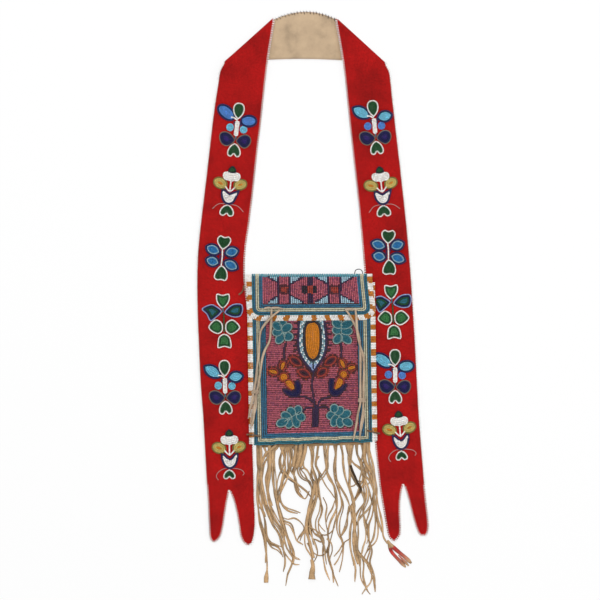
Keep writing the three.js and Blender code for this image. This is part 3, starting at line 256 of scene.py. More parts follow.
def even_steps(line, step):
    """Points at even steps along a line of points, and the directions there."""
    reach = distances(line)
    count = max(int(round(reach[-1] / step)), 1)
    marks = np.linspace(0, reach[-1], count + 1)
    points = np.stack([np.interp(marks, reach, line[:, k]) for k in range(line.shape[1])], axis=1)
    ways = np.gradient(points, axis=0) if len(points) > 1 else np.zeros_like(points)
    norms = np.linalg.norm(ways, axis=1, keepdims=True)
    return points, ways / np.where(norms < 1e-9, 1.0, norms)


def smooth_table(table, ys):
    """Columns of a table of Y and values, read smoothly at other Y."""
    knots = np.asarray(table, float)
    slopes = np.gradient(knots[:, 1:], knots[:, 0], axis=0)
    place = np.clip(np.searchsorted(knots[:, 0], ys) - 1, 0, len(knots) - 2)
    span = knots[place + 1, 0] - knots[place, 0]
    t = np.clip((ys - knots[place, 0]) / span, 0, 1)[:, None]
    low, high = knots[place, 1:], knots[place + 1, 1:]
    m1, m2 = slopes[place] * span[:, None], slopes[place + 1] * span[:, None]
    return low + m1 * t + (3 * (high - low) - 2 * m1 - m2) * t**2 + (2 * (low - high) + m1 + m2) * t**3


def ease(values):
    values = np.clip(values, 0, 1)
    return values * values * (3 - 2 * values)


def lay(x, y):
    """Where a square point of the pouch lies: its foot swings right and its right corner is drawn up."""
    down = 0.5 - np.asarray(y) / (2 * POUCH_TOP)
    return x + POUCH_LEAN * (down - 0.5), y + POUCH_SLANT * down * x / (2 * POUCH_SIDE)


def crown_share(distance):
    return np.sin(0.5 * math.pi * np.clip(distance / CROWN_RUN, 0, 1))


def front_level(x, y):
    """Height of the underside of the pouch's front."""
    x, y = np.asarray(x, float), np.asarray(y, float)
    return FRONT_EDGE + CROWN * crown_share(POUCH_SIDE - abs(x)) * crown_share(y + POUCH_TOP)


def rim_share(distance):
    return np.clip((RIM[1] + RIM[2] - distance) / RIM[2], 0, 1)


def back_level(x, y):
    """Height of the underside of the pouch's back."""
    x, y = np.asarray(x, float), np.asarray(y, float)
    return RIM[0] * np.maximum(rim_share(POUCH_SIDE - abs(x)), rim_share(y + POUCH_TOP))


# Mesh and piece helpers
def new_piece(name, mesh, material, nodes=()):
    """A piece that rides on the bag, takes a finish and stands for the given solids."""
    piece = bpy.data.objects.new(name, mesh)
    bpy.context.scene.collection.objects.link(piece)
    mesh.materials.clear()
    mesh.materials.append(material)
    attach(piece, "root")
    if nodes:
        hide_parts(*nodes)
    return piece


def grid_mesh(name, rows, extra=()):
    """A sheet through rows of points in mm, with further grids sewn to its first or last row."""
    verts = [point for row in rows for point in row]
    columns = len(rows[0])
    faces = []

    def sew(index):
        for i in range(len(index) - 1):
            for j in range(len(index[0]) - 1):
                faces.append((index[i][j], index[i][j + 1], index[i + 1][j + 1], index[i + 1][j]))

    sew([[i * columns + j for j in range(columns)] for i in range(len(rows))])
    for grid, first, at_end in extra:
        start = len(verts)
        verts.extend(point for row in grid for point in row)
        wide = len(grid[0])
        index = [[start + i * wide + j for j in range(wide)] for i in range(len(grid))]
        base = (len(rows) - 1) * columns if at_end else 0
        shared = [base + first + j for j in range(wide)]
        sew([shared, *index] if at_end else [*index, shared])
    mesh = bpy.data.meshes.new(name)
    mesh.from_pydata([tuple(np.asarray(v) * MM) for v in verts], [], faces)
    mesh.update()
    return mesh


def thicken(mesh, thickness):
    """The sheet as a closed body of the given thickness in metres, about its middle."""
    work = bpy.data.objects.new(mesh.name + "_sheet", mesh)
    bpy.context.scene.collection.objects.link(work)
    solid = work.modifiers.new("Thickness", "SOLIDIFY")
    solid.thickness = thickness
    solid.offset = 0.0
    solid.use_even_offset = False
    deps = bpy.context.evaluated_depsgraph_get()
    made = bpy.data.meshes.new_from_object(work.evaluated_get(deps))
    made.name = mesh.name
    bpy.data.objects.remove(work)
    made.shade_smooth()
    return made


def panel_mesh(name, xs, ys, level, thickness):
    """A pouch panel over a grid of square points, laid as the pouch lies."""
    rows = [[(*map(float, lay(x, y)), float(level(x, y)) + thickness / 2) for x in xs] for y in ys]
    return thicken(grid_mesh(name, rows), thickness * MM)


GROUND_DEPTH = 0.8
# The plates under the beads take this share of their beads' colour: a darker copy that is painted shade in
# the gaps between beads
PAINTED_GAP_SHADE = 0.7


class Beads:
    """Beads gathered for one piece: place, thread direction, outward direction, size and colour."""

    def __init__(self, sizes, colours, seed):
        self.sizes = sizes
        self.colours = colours
        self.random = np.random.default_rng(SEED + seed)
        self.places, self.ways, self.ups, self.spans, self.keys = [], [], [], [], []
        self.plates = []

    def ground(self, corners, key):
        """Adds a thin plate under the beads, by the corners of its top in mm: darker than the beads, it is
        painted shade in the gaps between them.
        """
        corners = np.asarray(corners, float)
        after = np.roll(corners, -1, axis=0)
        turns_left = (corners[:, 0] * after[:, 1] - after[:, 0] * corners[:, 1]).sum() > 0
        self.plates.append((corners if turns_left else corners[::-1], key))

    def add(self, places, ways, ups, keys, scale=1.0):
        """Adds a bead at each place in mm. A key names the bead's colour."""
        places = np.atleast_2d(np.asarray(places, float))
        count = len(places)
        self.places.append(places)
        self.ways.append(np.broadcast_to(np.asarray(ways, float), (count, 3)))
        self.ups.append(np.broadcast_to(np.asarray(ups, float), (count, 3)))
        self.spans.append(np.broadcast_to(np.asarray(scale, float), (count,)))
        self.keys.extend([keys] * count if isinstance(keys, str) else list(keys))

    def mesh(self, name):
        """All the beads as one mesh of small pinched barrels over their plates of painted shade, each with a
        tint and a place to bake.
        """
        sides = self.sizes.bead_sides
        places = np.concatenate(self.places)
        count = len(places)
        ways = unit(np.concatenate(self.ways) + self.random.normal(0, 0.05, (count, 3)))
        across = unit(np.cross(ways, np.concatenate(self.ups)))
        ups = np.cross(across, ways)
        spans = np.concatenate(self.spans)
        half = 500 * self.sizes.bead_length * spans * self.random.uniform(0.9, 1.04, count)
        radius = 500 * self.sizes.bead_diameter * spans * self.random.uniform(0.93, 1.05, count)
        stations = np.array([-1.0, 0.0, 1.0])
        waist = np.array([0.7, 1.0, 0.7])
        angles = np.linspace(0, 2 * math.pi, sides, endpoint=False)
        ring = across[:, None] * np.cos(angles)[:, None] + ups[:, None] * np.sin(angles)[:, None]
        verts = (
            places[:, None, None]
            + ways[:, None, None] * (half[:, None] * stations)[:, :, None, None]
            + ring[:, None] * (radius[:, None] * waist)[:, :, None, None]
        )
        shape, cell = barrel_faces(sides)
        per_bead = 3 * sides
        corners = [(np.arange(count)[:, None] * per_bead + np.concatenate(shape)).ravel()]
        widths = np.tile([len(face) for face in shape], count).tolist()
        side_cells = math.ceil(math.sqrt(count + len(self.plates)))
        numbers = np.arange(count + len(self.plates))
        cells = np.stack([numbers % side_cells, numbers // side_cells], axis=1)
        uv = [((cells[:count, None] + cell[None]) / side_cells).reshape(-1, 2)]
        used = {*self.keys, *(key for top, key in self.plates)}
        known = {key: linear(getattr(self.colours, key)) for key in used}
        tint = np.array([known[key] for key in self.keys])
        tint = tint * np.exp(self.random.normal(0, 0.1, (count, 1)))
        tints = [np.repeat(np.clip(tint, 0, 1), per_bead, axis=0)]
        points = [verts.reshape(-1, 3)]
        start = count * per_bead
        for number, (top, key) in enumerate(self.plates, count):
            rim = np.arange(len(top))
            after = (rim + 1) % len(top)
            sides_of = np.stack([rim, rim + len(top), after + len(top), after], axis=1)
            loops = np.concatenate([rim, sides_of.ravel(), rim[::-1] + len(top)])
            corners.append(start + loops)
            widths += [len(top), *[4] * len(top), len(top)]
            spread = (top[:, :2] - top[:, :2].min(axis=0)) / np.ptp(top[:, :2], axis=0).max()
            uv.append((cells[number] + 0.06 + 0.88 * spread[loops % len(top)]) / side_cells)
            points += [top, top - [0.0, 0.0, GROUND_DEPTH]]
            # A plate's tint is its beads' colour darkened: painted shade between the beads
            tints.append(np.tile(PAINTED_GAP_SHADE * known[key], (2 * len(top), 1)))
            start += 2 * len(top)
        corners = np.concatenate(corners)
        mesh = bpy.data.meshes.new(name)
        mesh.vertices.add(start)
        mesh.vertices.foreach_set("co", (np.concatenate(points) * MM).astype(np.float32).ravel())
        mesh.loops.add(len(corners))
        mesh.loops.foreach_set("vertex_index", corners.astype(np.int32))
        mesh.polygons.add(len(widths))
        mesh.polygons.foreach_set("loop_start", np.cumsum([0] + widths[:-1]).astype(np.int32))
        layer = mesh.uv_layers.new(name="OFBake")
        layer.uv.foreach_set("vector", np.concatenate(uv).astype(np.float32).ravel())
        shade = np.concatenate([np.concatenate(tints), np.ones((start, 1))], axis=1)
        store = mesh.color_attributes.new("Tint", "FLOAT_COLOR", "POINT")
        store.data.foreach_set("color", shade.astype(np.float32).ravel())
        mesh.update(calc_edges=True)
        mesh.validate()
        mesh.shade_smooth()
        return mesh

    def piece(self, name, slot, nodes):
        """The beads as a piece of the bag that stands for the given solids."""
        return new_piece(name, self.mesh(name), shared_material("beads", self.colours), nodes)


def barrel_faces(sides):
    """Faces of one bead, and where each of its corners goes in its cell of the baked picture."""
    faces, cell = [], []
    for j in range(2):
        for k in range(sides):
            after = (k + 1) % sides
            faces.append((j * sides + k, (j + 1) * sides + k, (j + 1) * sides + after, j * sides + after))
            for u, v in ((k, j), (k, j + 1), (k + 1, j + 1), (k + 1, j)):
                cell.append((0.06 + 0.88 * u / sides, 0.36 + 0.29 * v))
    ends = (range(sides), range(3 * sides - 1, 2 * sides - 1, -1))
    for middle, order in zip((0.28, 0.72), ends):
        faces.append(tuple(order))
        for k in range(sides):
            angle = 2 * math.pi * k / sides
            cell.append((middle + 0.13 * math.cos(angle), 0.18 + 0.13 * math.sin(angle)))
    return faces, np.array(cell)


# Outlines of petals, leaves and other bead figures, in mm
def bezier(a, b, c, d, count=10):
    t = np.linspace(0, 1, count, endpoint=False)[:, None]
    a, b, c, d = (np.asarray(p, float) for p in (a, b, c, d))
    return a * (1 - t) ** 3 + 3 * b * t * (1 - t) ** 2 + 3 * c * t**2 * (1 - t) + d * t**3


def petal_outline(base, tip, width, form):
    """Outline of a petal from its base to its tip."""
    base, tip = np.asarray(base, float), np.asarray(tip, float)
    along = tip - base
    side = np.array([-along[1], along[0]]) / np.linalg.norm(along) * width

    def at(share, out):
        return base + along * share + side * out

    if form == "heart":
        return np.concatenate([
            bezier(base, at(0.1, -0.48), at(1.05, -0.76), at(1.0, -0.2)),
            bezier(at(1.0, -0.2), at(0.97, -0.12), at(0.84, -0.04), at(0.78, 0.0), 4),
            bezier(at(0.78, 0.0), at(0.84, 0.04), at(0.97, 0.12), at(1.0, 0.2), 4),
            bezier(at(1.0, 0.2), at(1.05, 0.76), at(0.1, 0.48), base),
        ])
    low, high, out = {"drop": (0.3, 1.02, 0.68), "leaf": (0.2, 0.8, 0.66), "oval": (0.02, 0.98, 0.67)}[form]
    return np.concatenate([
        bezier(base, at(low, -out), at(high, -out), tip),
        bezier(tip, at(high, out), at(low, out), base),
    ])


def disc_outline(x, y, half_width, half_height):
    turn = np.linspace(0, 2 * math.pi, 40, endpoint=False)
    return np.stack([x + half_width * np.cos(turn), y + half_height * np.sin(turn)], axis=1)


def blob_outline(points):
    return rounded_path(points, 1.2, closed=True)[0][:-1]


def inside(outline, points):
    """Which points lie inside a closed outline."""
    points = np.atleast_2d(points)
    x, y = points[:, 0], points[:, 1]
    hit = np.zeros(len(points), bool)
    for a, b in zip(outline, np.roll(outline, -1, axis=0)):
        crosses = (a[1] > y) != (b[1] > y)
        rise = b[1] - a[1] if abs(b[1] - a[1]) > 1e-12 else 1e-12
        hit ^= crosses & (x < (b[0] - a[0]) * (y - a[1]) / rise + a[0])
    return hit


MOST_ROWS = 40
# Step of the points that a row of beads is set along, in mm
FINE_STEP = 0.45


class Figure:
    """Beads set side by side in a flat figure, in mm: places, thread directions, colours and sizes."""

    def __init__(self, sizes):
        self.pitch, self.spacing = 920 * sizes.row_pitch, 940 * sizes.bead_length
        self.places, self.ways, self.keys, self.spans = [], [], [], []
        self.grounds = []

    def thread(self, points, ways, key, span=1.0):
        """Sets beads along finely spaced points, each clear of the beads already set."""
        before = len(self.places)
        for point, way in zip(points, ways):
            if self.places:
                gaps = np.linalg.norm(np.array(self.places) - point, axis=1)
                spans = (np.array(self.spans) + span) / 2
                need = np.where(np.arange(len(gaps)) < before, 0.82 * self.pitch, self.spacing) * spans
                if (gaps < need).any():
                    continue
            self.places.append(np.asarray(point))
            self.ways.append(np.asarray(way))
            self.keys.append(key(point) if callable(key) else key)
            self.spans.append(span)

    def fill(self, outline, keys, spans=(1.0,), rise=0):
        """Rows of beads that follow an outline inwards, each with its colour and its size of bead."""
        fine, ways = even_steps(np.concatenate([outline, outline[:1]]), FINE_STEP)
        fine, ways = fine[:-1], ways[:-1]
        after = np.roll(fine, -1, axis=0)
        area = (fine[:, 0] * after[:, 1] - after[:, 0] * fine[:, 1]).sum()
        inward = np.stack([-ways[:, 1], ways[:, 0]], axis=1) * (1.0 if area > 0 else -1.0)
        spans = [*spans, *[spans[-1]] * MOST_ROWS]
        keys = [*keys, *[keys[-1]] * MOST_ROWS]

        def row_at(inset):
            moved = fine + inward * inset
            near = np.sqrt(((moved[:, None] - fine[None]) ** 2).sum(axis=2)).min(axis=1)
            return moved, (near > inset - 0.2) & inside(outline, moved)

        reach = self.pitch * np.cumsum(spans)
        for row in range(MOST_ROWS):
            key, span = keys[row], spans[row]
            inset = reach[row] - 0.5 * self.pitch * span
            moved, keep = row_at(inset)
            if not keep.any():
                break
            # A plate under each new colour's first row; it is darkened later, as painted shade between the
            # beads
            if row == 0 or key != keys[row - 1]:
                under, held = row_at(inset - 0.35 * self.pitch * span)
                if held.sum() > 5:
                    shade = "mist" if callable(key) else key
                    self.grounds.append((under[held][::2], shade, min(row, 3) + rise))
            self.thread(moved[keep], ways[keep], key, span)
        self.stuff(outline, fine, ways, keys, reach)

    def stuff(self, outline, fine, ways, keys, reach):
        """Single beads in the gaps that an outline's rows leave, the widest gap first."""
        low, high = outline.min(axis=0), outline.max(axis=0)
        xs, ys = np.meshgrid(np.arange(low[0], high[0], 0.4), np.arange(low[1], high[1], 0.4))
        spots = np.column_stack([xs.ravel(), ys.ravel()])
        away = np.sqrt(((spots[:, None] - fine[None]) ** 2).sum(axis=2))
        nearest, depth = away.argmin(axis=1), away.min(axis=1)
        kept = inside(outline, spots) & (depth > 0.42 * reach[0])
        spots, nearest, depth = spots[kept], nearest[kept], depth[kept]
        if not len(spots):
            return
        gaps = np.sqrt(((spots[:, None] - np.array(self.places)[None]) ** 2).sum(axis=2)).min(axis=1)
        while gaps.max() > 0.7 * self.pitch:
            best = gaps.argmax()
            key = keys[np.searchsorted(reach, depth[best])]
            self.places.append(spots[best])
            self.ways.append(ways[nearest[best]])
            self.keys.append(key(spots[best]) if callable(key) else key)
            self.spans.append(0.9)
            gaps = np.minimum(gaps, np.linalg.norm(spots - spots[best], axis=1))

    def line(self, points, key, span=1.0):
        """A row of beads along a smooth line."""
        self.thread(*rounded_path(points, FINE_STEP), key, span)

    def rim(self, outline, key, span):
        """A row of beads round a closed outline."""
        self.thread(*even_steps(np.concatenate([outline, outline[:1]]), FINE_STEP), key, span)

    def arrays(self):
        return np.array(self.places), np.array(self.ways), self.keys, np.array(self.spans)


# Materials
WHITE = (1, 1, 1)


class Finish:
    """A material in the making: its nodes, its shader and the texture steps that the finishes share."""

    def __init__(self, name, **values):
        self.material = bpy.data.materials.new(name)
        self.material.use_nodes = True
        self.nodes, self.links = self.material.node_tree.nodes, self.material.node_tree.links
        self.shader = self.nodes["Principled BSDF"]
        self.settle(self.shader, values)
        self.place = self.add("TexCoord").outputs["Object"]

    def settle(self, node, values):
        """Sets values on a node's sockets, or on the node itself where it has no such socket."""
        for key, value in values.items():
            socket = node.inputs.get(key.replace("_", " "))
            if socket is None:
                setattr(node, key, value)
            else:
                socket.default_value = value

    def add(self, kind, **values):
        node = self.nodes.new("ShaderNode" + kind)
        self.settle(node, values)
        return node

    def texture(self, kind, **values):
        node = self.add("Tex" + kind, **values)
        self.links.new(self.place, node.inputs["Vector"])
        return node.outputs["Fac"]

    def noise(self, scale, detail=4.0, roughness=0.6):
        return self.texture("Noise", Scale=scale, Detail=detail, Roughness=roughness)

    def ramp(self, value, *stops):
        node = self.add("ValToRGB")
        band = node.color_ramp
        while len(band.elements) < len(stops):
            band.elements.new(0.5)
        for element, (place, colour) in zip(band.elements, stops):
            element.position = place
            element.color = (*linear(colour), 1.0)
        self.links.new(value, node.inputs["Fac"])
        return node.outputs["Color"]

    def mixed(self, share, first, second, kind="MULTIPLY"):
        """Two colours mixed. The numbers are those of the mix node's sockets for colours."""
        node = self.add("Mix", data_type="RGBA", blend_type=kind)
        node.inputs[0].default_value = share
        self.links.new(first, node.inputs[6])
        self.links.new(second, node.inputs[7])
        return node.outputs[2]

    def tint(self):
        return self.add("Attribute", attribute_name="Tint").outputs["Color"]

    def bump(self, height, strength, distance):
        node = self.add("Bump", Strength=strength, Distance=distance)
        self.links.new(height, node.inputs["Height"])
        self.links.new(node.outputs["Normal"], self.shader.inputs["Normal"])

    def coloured(self, colour):
        """The material, with its colour linked."""
        self.links.new(colour, self.shader.inputs["Base Color"])
        return self.material


def shaded(colour, share):
    return tuple(min(c * share, 1.0) for c in colour)


def wool_cloth(colours):
    """Felted red wool: a fine twill under a short nap, with worn and faded places."""
    finish = Finish(
        "red_wool", Roughness=0.95, Specular_IOR_Level=0.08, Sheen_Weight=0.05, Sheen_Roughness=0.6,
    )
    nap, red = finish.noise(1500.0, 3.0), colours.wool[:]
    twill = finish.texture(
        "Wave", Scale=420.0, Distortion=2.0, Detail=1.0, Detail_Scale=3.0, bands_direction="DIAGONAL",
    )
    base = finish.ramp(
        finish.noise(24.0, 5.0), (0.3, shaded(red, 0.84)), (0.5, red), (0.72, shaded(red, 1.1)),
    )
    speck = finish.ramp(nap, (0.25, (0.62, 0.62, 0.62)), (0.6, WHITE), (0.8, (1, 0.98, 0.96)))
    fleck = finish.ramp(finish.noise(380.0), (0.3, (0.86, 0.88, 0.88)), (0.62, WHITE))
    finish.bump(finish.mixed(0.35, nap, twill, "MIX"), 0.55, 0.0006)
    return finish.coloured(finish.mixed(0.8, finish.mixed(0.75, base, speck), fleck))


def cotton_cloth(colours):
    """Plain-woven cotton with age stains."""
    finish = Finish("cotton_lining", Roughness=0.92, Specular_IOR_Level=0.2)
    base = finish.ramp(
        finish.noise(30.0, 6.0, 0.65),
        *((at, shaded(colours.cotton, share)) for at, share in ((0.28, 0.78), (0.46, 0.96), (0.7, 1.06))),
    )
    threads = finish.mixed(1.0, *(
        finish.texture("Wave", Scale=260.0, Distortion=0.8, bands_direction=way) for way in "XY"
    ))
    dark = finish.ramp(threads, (0.0, (0.82, 0.8, 0.77)), (0.5, WHITE))
    finish.bump(threads, 0.4, 0.0003)
    return finish.coloured(finish.mixed(0.8, base, dark))


def hide(name, colour, contrast=0.22):
    """Soft tanned hide: mottled, with a fine fibrous grain, tinted piece by piece."""
    finish = Finish(name, Roughness=0.88, Specular_IOR_Level=0.2, Sheen_Weight=0.15)
    grain = finish.noise(900.0)
    base = finish.ramp(
        finish.noise(85.0, 6.0, 0.65), (0.25, shaded(colour, 1 - 1.6 * contrast)), (0.5, colour[:]),
        (0.75, shaded(colour, 1 + 0.6 * contrast)),
    )
    fibre = finish.ramp(grain, (0.3, (0.74, 0.71, 0.68)), (0.62, WHITE))
    finish.bump(grain, 0.5, 0.0004)
    return finish.coloured(finish.mixed(1.0, finish.mixed(0.6, base, fibre), finish.tint()))


def glass_beads():
    """Opaque glass seed beads, each with its own tint under a faint mottled film. The plates in the dips
    between them take a darker tint: painted shade.
    """
    finish = Finish(
        "seed_beads", Roughness=0.36, Specular_IOR_Level=0.5, Coat_Weight=0.12, Coat_Roughness=0.2,
    )
    swirl = finish.noise(700.0, 2.0)
    film = finish.ramp(swirl, (0.3, (0.86, 0.86, 0.86)), (0.65, WHITE))
    finish.bump(swirl, 0.12, 0.0002)
    return finish.coloured(finish.mixed(0.8, finish.tint(), film))


def sewing_thread(name, colour):
    """Twisted cotton thread."""
    finish = Finish(name, Roughness=0.85, Specular_IOR_Level=0.2)
    twist = finish.texture("Wave", Scale=900.0, Distortion=1.0, bands_direction="DIAGONAL")
    finish.bump(twist, 0.4, 0.0002)
    return finish.coloured(finish.ramp(twist, (0.1, shaded(colour, 0.7)), (0.7, colour[:])))


MATERIALS = {}


def shared_material(key, colours):
    """Each finish is made once and shared by its pieces."""
    if key not in MATERIALS:
        makers = {
            "wool": lambda: wool_cloth(colours),
            "cotton": lambda: cotton_cloth(colours),
            "buckskin": lambda: hide("buckskin", colours.buckskin),
            "pale_hide": lambda: hide("pale_hide", colours.pale_hide, 0.14),
            "dark_hide": lambda: hide("dark_hide", colours.dark_hide),
            "backing": lambda: hide("bead_backing", colours.thread),
            "beads": glass_beads,
            # Dark thread of the neck, which also stands for painted shadow between the edge beads
            "stitch": lambda: sewing_thread("thread_seam", colours.seam),
            "blush": lambda: sewing_thread("thread_blush", colours.blush),
            "loop": lambda: sewing_thread("thread_black", colours.black),
        }
        MATERIALS[key] = makers[key]()
    return MATERIALS[key]


def tint_mesh(mesh, values=None):
    """Gives a mesh its tint, white where none is given."""
    store = mesh.color_attributes.new("Tint", "FLOAT_COLOR", "POINT")
    if values is None:
        values = np.ones((len(mesh.vertices), 4))
    store.data.foreach_set("color", np.asarray(values, np.float32).ravel())


# Strap
def strap_rows():
    """Rows of points along the strap, from its outer to its inner edge, on the plane between
    its wool and its lining: left leg, fold, neck, fold and right leg."""
    def leg(edges, crease):
        low = np.linspace(edges[0][0], SKEW_FROM, LEG_ROWS)
        outer_y, inner_y = (
            np.concatenate([low, np.linspace(SKEW_FROM, end[1], SKEW_ROWS)[1:]]) for end in crease
        )
        outer_table = [*((y, x) for y, x, unused in edges[:-2]), crease[0][::-1]]
        inner_table = [(y, x) for y, unused, x in edges]
        height = LEG_LEVEL + FOLD_RISE * ease((inner_y - RISE[0]) / (RISE[1] - RISE[0]))
        return [
            np.stack([smooth_table(table, ys)[:, 0], ys, height], axis=1)
            for table, ys in ((outer_table, outer_y), (inner_table, inner_y))
        ]

    def fold(outer, inner, side):
        line = outer - inner
        line /= np.linalg.norm(line)
        away = np.array([side * abs(line[1]), abs(line[0]), 0.0])
        turns = np.linspace(0, math.pi, FOLD_ROWS)[1:]
        swell = np.sin(turns)[:, None]
        drop = FOLD_RADIUS * (np.cos(turns) - 1)[:, None] * [0, 0, 1]
        outer_roll, inner_roll = (FOLD_RADIUS * share * swell * away for share in FOLD_PINCH)
        return outer + outer_roll + drop - FOLD_SLIDE * swell * line, inner + inner_roll + drop

    def neck(left, right, middle_y):
        t = np.linspace(0, 1, NECK_ROWS)[1:-1, None]
        control = np.array([NECK_MIDDLE[0], 2 * middle_y - (left[1] + right[1]) / 2, left[2]])
        return left * (1 - t) ** 2 + 2 * control * t * (1 - t) + right * t**2

    left = leg(LEFT_EDGES, LEFT_FOLD)
    right = leg(RIGHT_EDGES, RIGHT_FOLD)
    left_fold = fold(left[0][-1], left[1][-1], -1)
    right_fold = fold(right[0][-1], right[1][-1], 1)
    lower = neck(left_fold[0][-1], right_fold[0][-1], NECK_MIDDLE[1])
    upper = neck(left_fold[1][-1], right_fold[1][-1], NECK_MIDDLE[2])
    outer = np.concatenate([left[0], left_fold[0], lower, right_fold[0][::-1], right[0][::-1]])
    inner = np.concatenate([left[1], left_fold[1], upper, right_fold[1][::-1], right[1][::-1]])
    return outer, inner


def strap_normals(outer, inner):
    """The side of the strap that is its red face, at each row."""
    return unit(np.cross(inner - outer, np.gradient((outer + inner) / 2, axis=0)))


def prong_grid(table, level, reverse):
    """One prong of a forked tail, from its tip up to the fork."""
    ys = table[0][0] + (table[-1][0] - table[0][0]) * np.linspace(0, 1, PRONG_ROWS) ** 1.6
    sides = np.stack([np.interp(ys, [r[0] for r in table], [r[k] for r in table]) for k in (1, 2)], axis=1)
    shares = np.linspace(0, 1, STRAP_COLUMNS // 2 + 1)
    grid = [[(a + (b - a) * s, y, level) for s in shares] for y, (a, b) in zip(ys, sides)]
    return grid[::-1] if reverse else grid


def strap_sheet(name, inset, offset, wander, seed):
    """The strap's surface at an offset from its middle plane, with its forked tails."""
    outer, inner = strap_rows()
    normals = strap_normals(outer, inner)
    across = unit(inner - outer)
    phases = np.random.default_rng(SEED + seed).uniform(0, 6.28, 6)
    along = distances((outer + inner) / 2)
    notch = {0: NOTCHES[0], len(outer) - 1: NOTCHES[1]}
    columns, half = np.arange(STRAP_COLUMNS + 1), STRAP_COLUMNS // 2
    rows = []
    for i in range(len(outer)):
        a, b = outer[i] + across[i] * inset, inner[i] - across[i] * inset
        row = []
        for s in np.interp(columns, [0, half, STRAP_COLUMNS], [0, notch.get(i, 0.5), 1]):
            wave = wander * (
                math.sin(along[i] * 0.045 + 3.1 * s + phases[0]) * math.sin(along[i] * 0.019 + phases[1])
                + 0.5 * math.sin(along[i] * 0.13 - 4.0 * s + phases[2])
            )
            row.append(tuple(a + (b - a) * s + normals[i] * (offset + wave)))
        rows.append(row)

    def drawn_in(table):
        if not inset:
            return table
        drawn = []
        for y, a, b in table:
            step = math.copysign(min(inset, abs(b - a) / 3), b - a)
            drawn.append((y, a + step, b - step))
        return [(drawn[0][0] + inset, *drawn[0][1:]), *drawn[1:]]

    return grid_mesh(name, rows, [
        (prong_grid(drawn_in(table), LEG_LEVEL + offset, at_end), first, at_end)
        for prongs, at_end in ((LEFT_PRONGS, False), (RIGHT_PRONGS, True))
        for table, first in zip(prongs, (0, half))
    ])


def sheet_border(mesh):
    """The sheet's edge as closed lines of points, with the outward and face directions, in mm."""
    work = bmesh.new()
    work.from_mesh(mesh)
    work.normal_update()
    work.edges.index_update()
    # Edges are kept by number, because a set of them has another order in each run.
    rim = {e.index: e for e in work.edges if e.is_boundary}
    lines = []
    while rim:
        edge = next(iter(rim.values()))
        vert = edge.verts[0]
        points, outs, ups = [], [], []
        while edge is not None:
            del rim[edge.index]
            face = edge.link_faces[0]
            middle = (edge.verts[0].co + edge.verts[1].co) / 2
            way = (edge.verts[1].co - edge.verts[0].co).normalized()
            out = way.cross(face.normal)
            if out.dot(face.calc_center_median() - middle) > 0:
                out.negate()
            points.append(vert.co / MM)
            outs.append(out)
            ups.append(face.normal)
            vert = edge.other_vert(vert)
            edge = next((e for e in vert.link_edges if e.index in rim), None)
        points.append(points[0])
        lines.append((np.array(points), np.array(outs + outs[:1]), np.array(ups + ups[:1])))
    work.free()
    return lines


def make_strap(sizes, colours):
    """The strap's wool and its cotton lining, and the stitches of its neck."""
    outer, inner = strap_rows()
    run = line_length((outer + inner) / 2) + TAILS
    for name, key, slot, node, cloth_lay, thickness, width in (
        ("strap_wool", "wool", "red_cloth", "strap_cloth", WOOL_LAY, sizes.cloth_thickness, WOOL_WIDTH),
        ("strap_cotton", "cotton", "lining_cloth", "strap_lining", LINING_LAY, sizes.lining_thickness,
         LINING_WIDTH),
    ):
        cloth = strap_sheet(name, *cloth_lay)
        piece = new_piece(name, thicken(cloth, thickness), shared_material(key, colours), [node])
    make_stitches(colours)


def tube(points, diameter, sides=8, flat=1.0, twist=0.0):
    """Vertices and faces of a cord along points in mm. Flat is its thickness as a share of its width."""
    points = np.asarray(points, float)
    ways = unit(np.gradient(points, axis=0))
    across = np.cross(ways, [0.0, 0.0, 1.0])
    norms = np.linalg.norm(across, axis=1, keepdims=True)
    across = np.where(norms < 1e-3, [1.0, 0.0, 0.0], across / np.where(norms < 1e-9, 1, norms))
    lift = np.cross(across, ways)
    size, flat, turn = (
        np.broadcast_to(np.asarray(value, float), len(points))[:, None] for value in (diameter, flat, twist)
    )
    wide = across * np.cos(turn) + lift * np.sin(turn)
    high = lift * np.cos(turn) - across * np.sin(turn)
    angles = np.linspace(0, 2 * math.pi, sides, endpoint=False)[:, None]
    verts = points[:, None] + size[:, None] / 2 * (
        wide[:, None] * np.cos(angles) + (flat * high)[:, None] * np.sin(angles)
    )
    faces = []
    for i in range(len(points) - 1):
        for k in range(sides):
            after = (k + 1) % sides
            faces.append((i * sides + k, i * sides + after, (i + 1) * sides + after, (i + 1) * sides + k))
    last = (len(points) - 1) * sides
    faces.append(tuple(range(sides - 1, -1, -1)))
    faces.append(tuple(last + k for k in range(sides)))
    return verts.reshape(-1, 3), faces


def join_parts(name, parts, shades=None):
    """Several closed bodies as one mesh, each with its own shade."""
    verts, faces, tints = [], [], []
    for i, (points, sides) in enumerate(parts):
        start = len(verts)
        verts.extend(map(tuple, points * MM))
        faces.extend(tuple(start + k for k in face) for face in sides)
        shade = np.ones(4) if shades is None else shades[i]
        tints.append(np.broadcast_to(shade, (len(points), 4)))
    mesh = bpy.data.meshes.new(name)
    mesh.from_pydata(verts, [], faces)
    mesh.update()
    tint_mesh(mesh, np.concatenate(tints))
    mesh.shade_smooth()
    return mesh


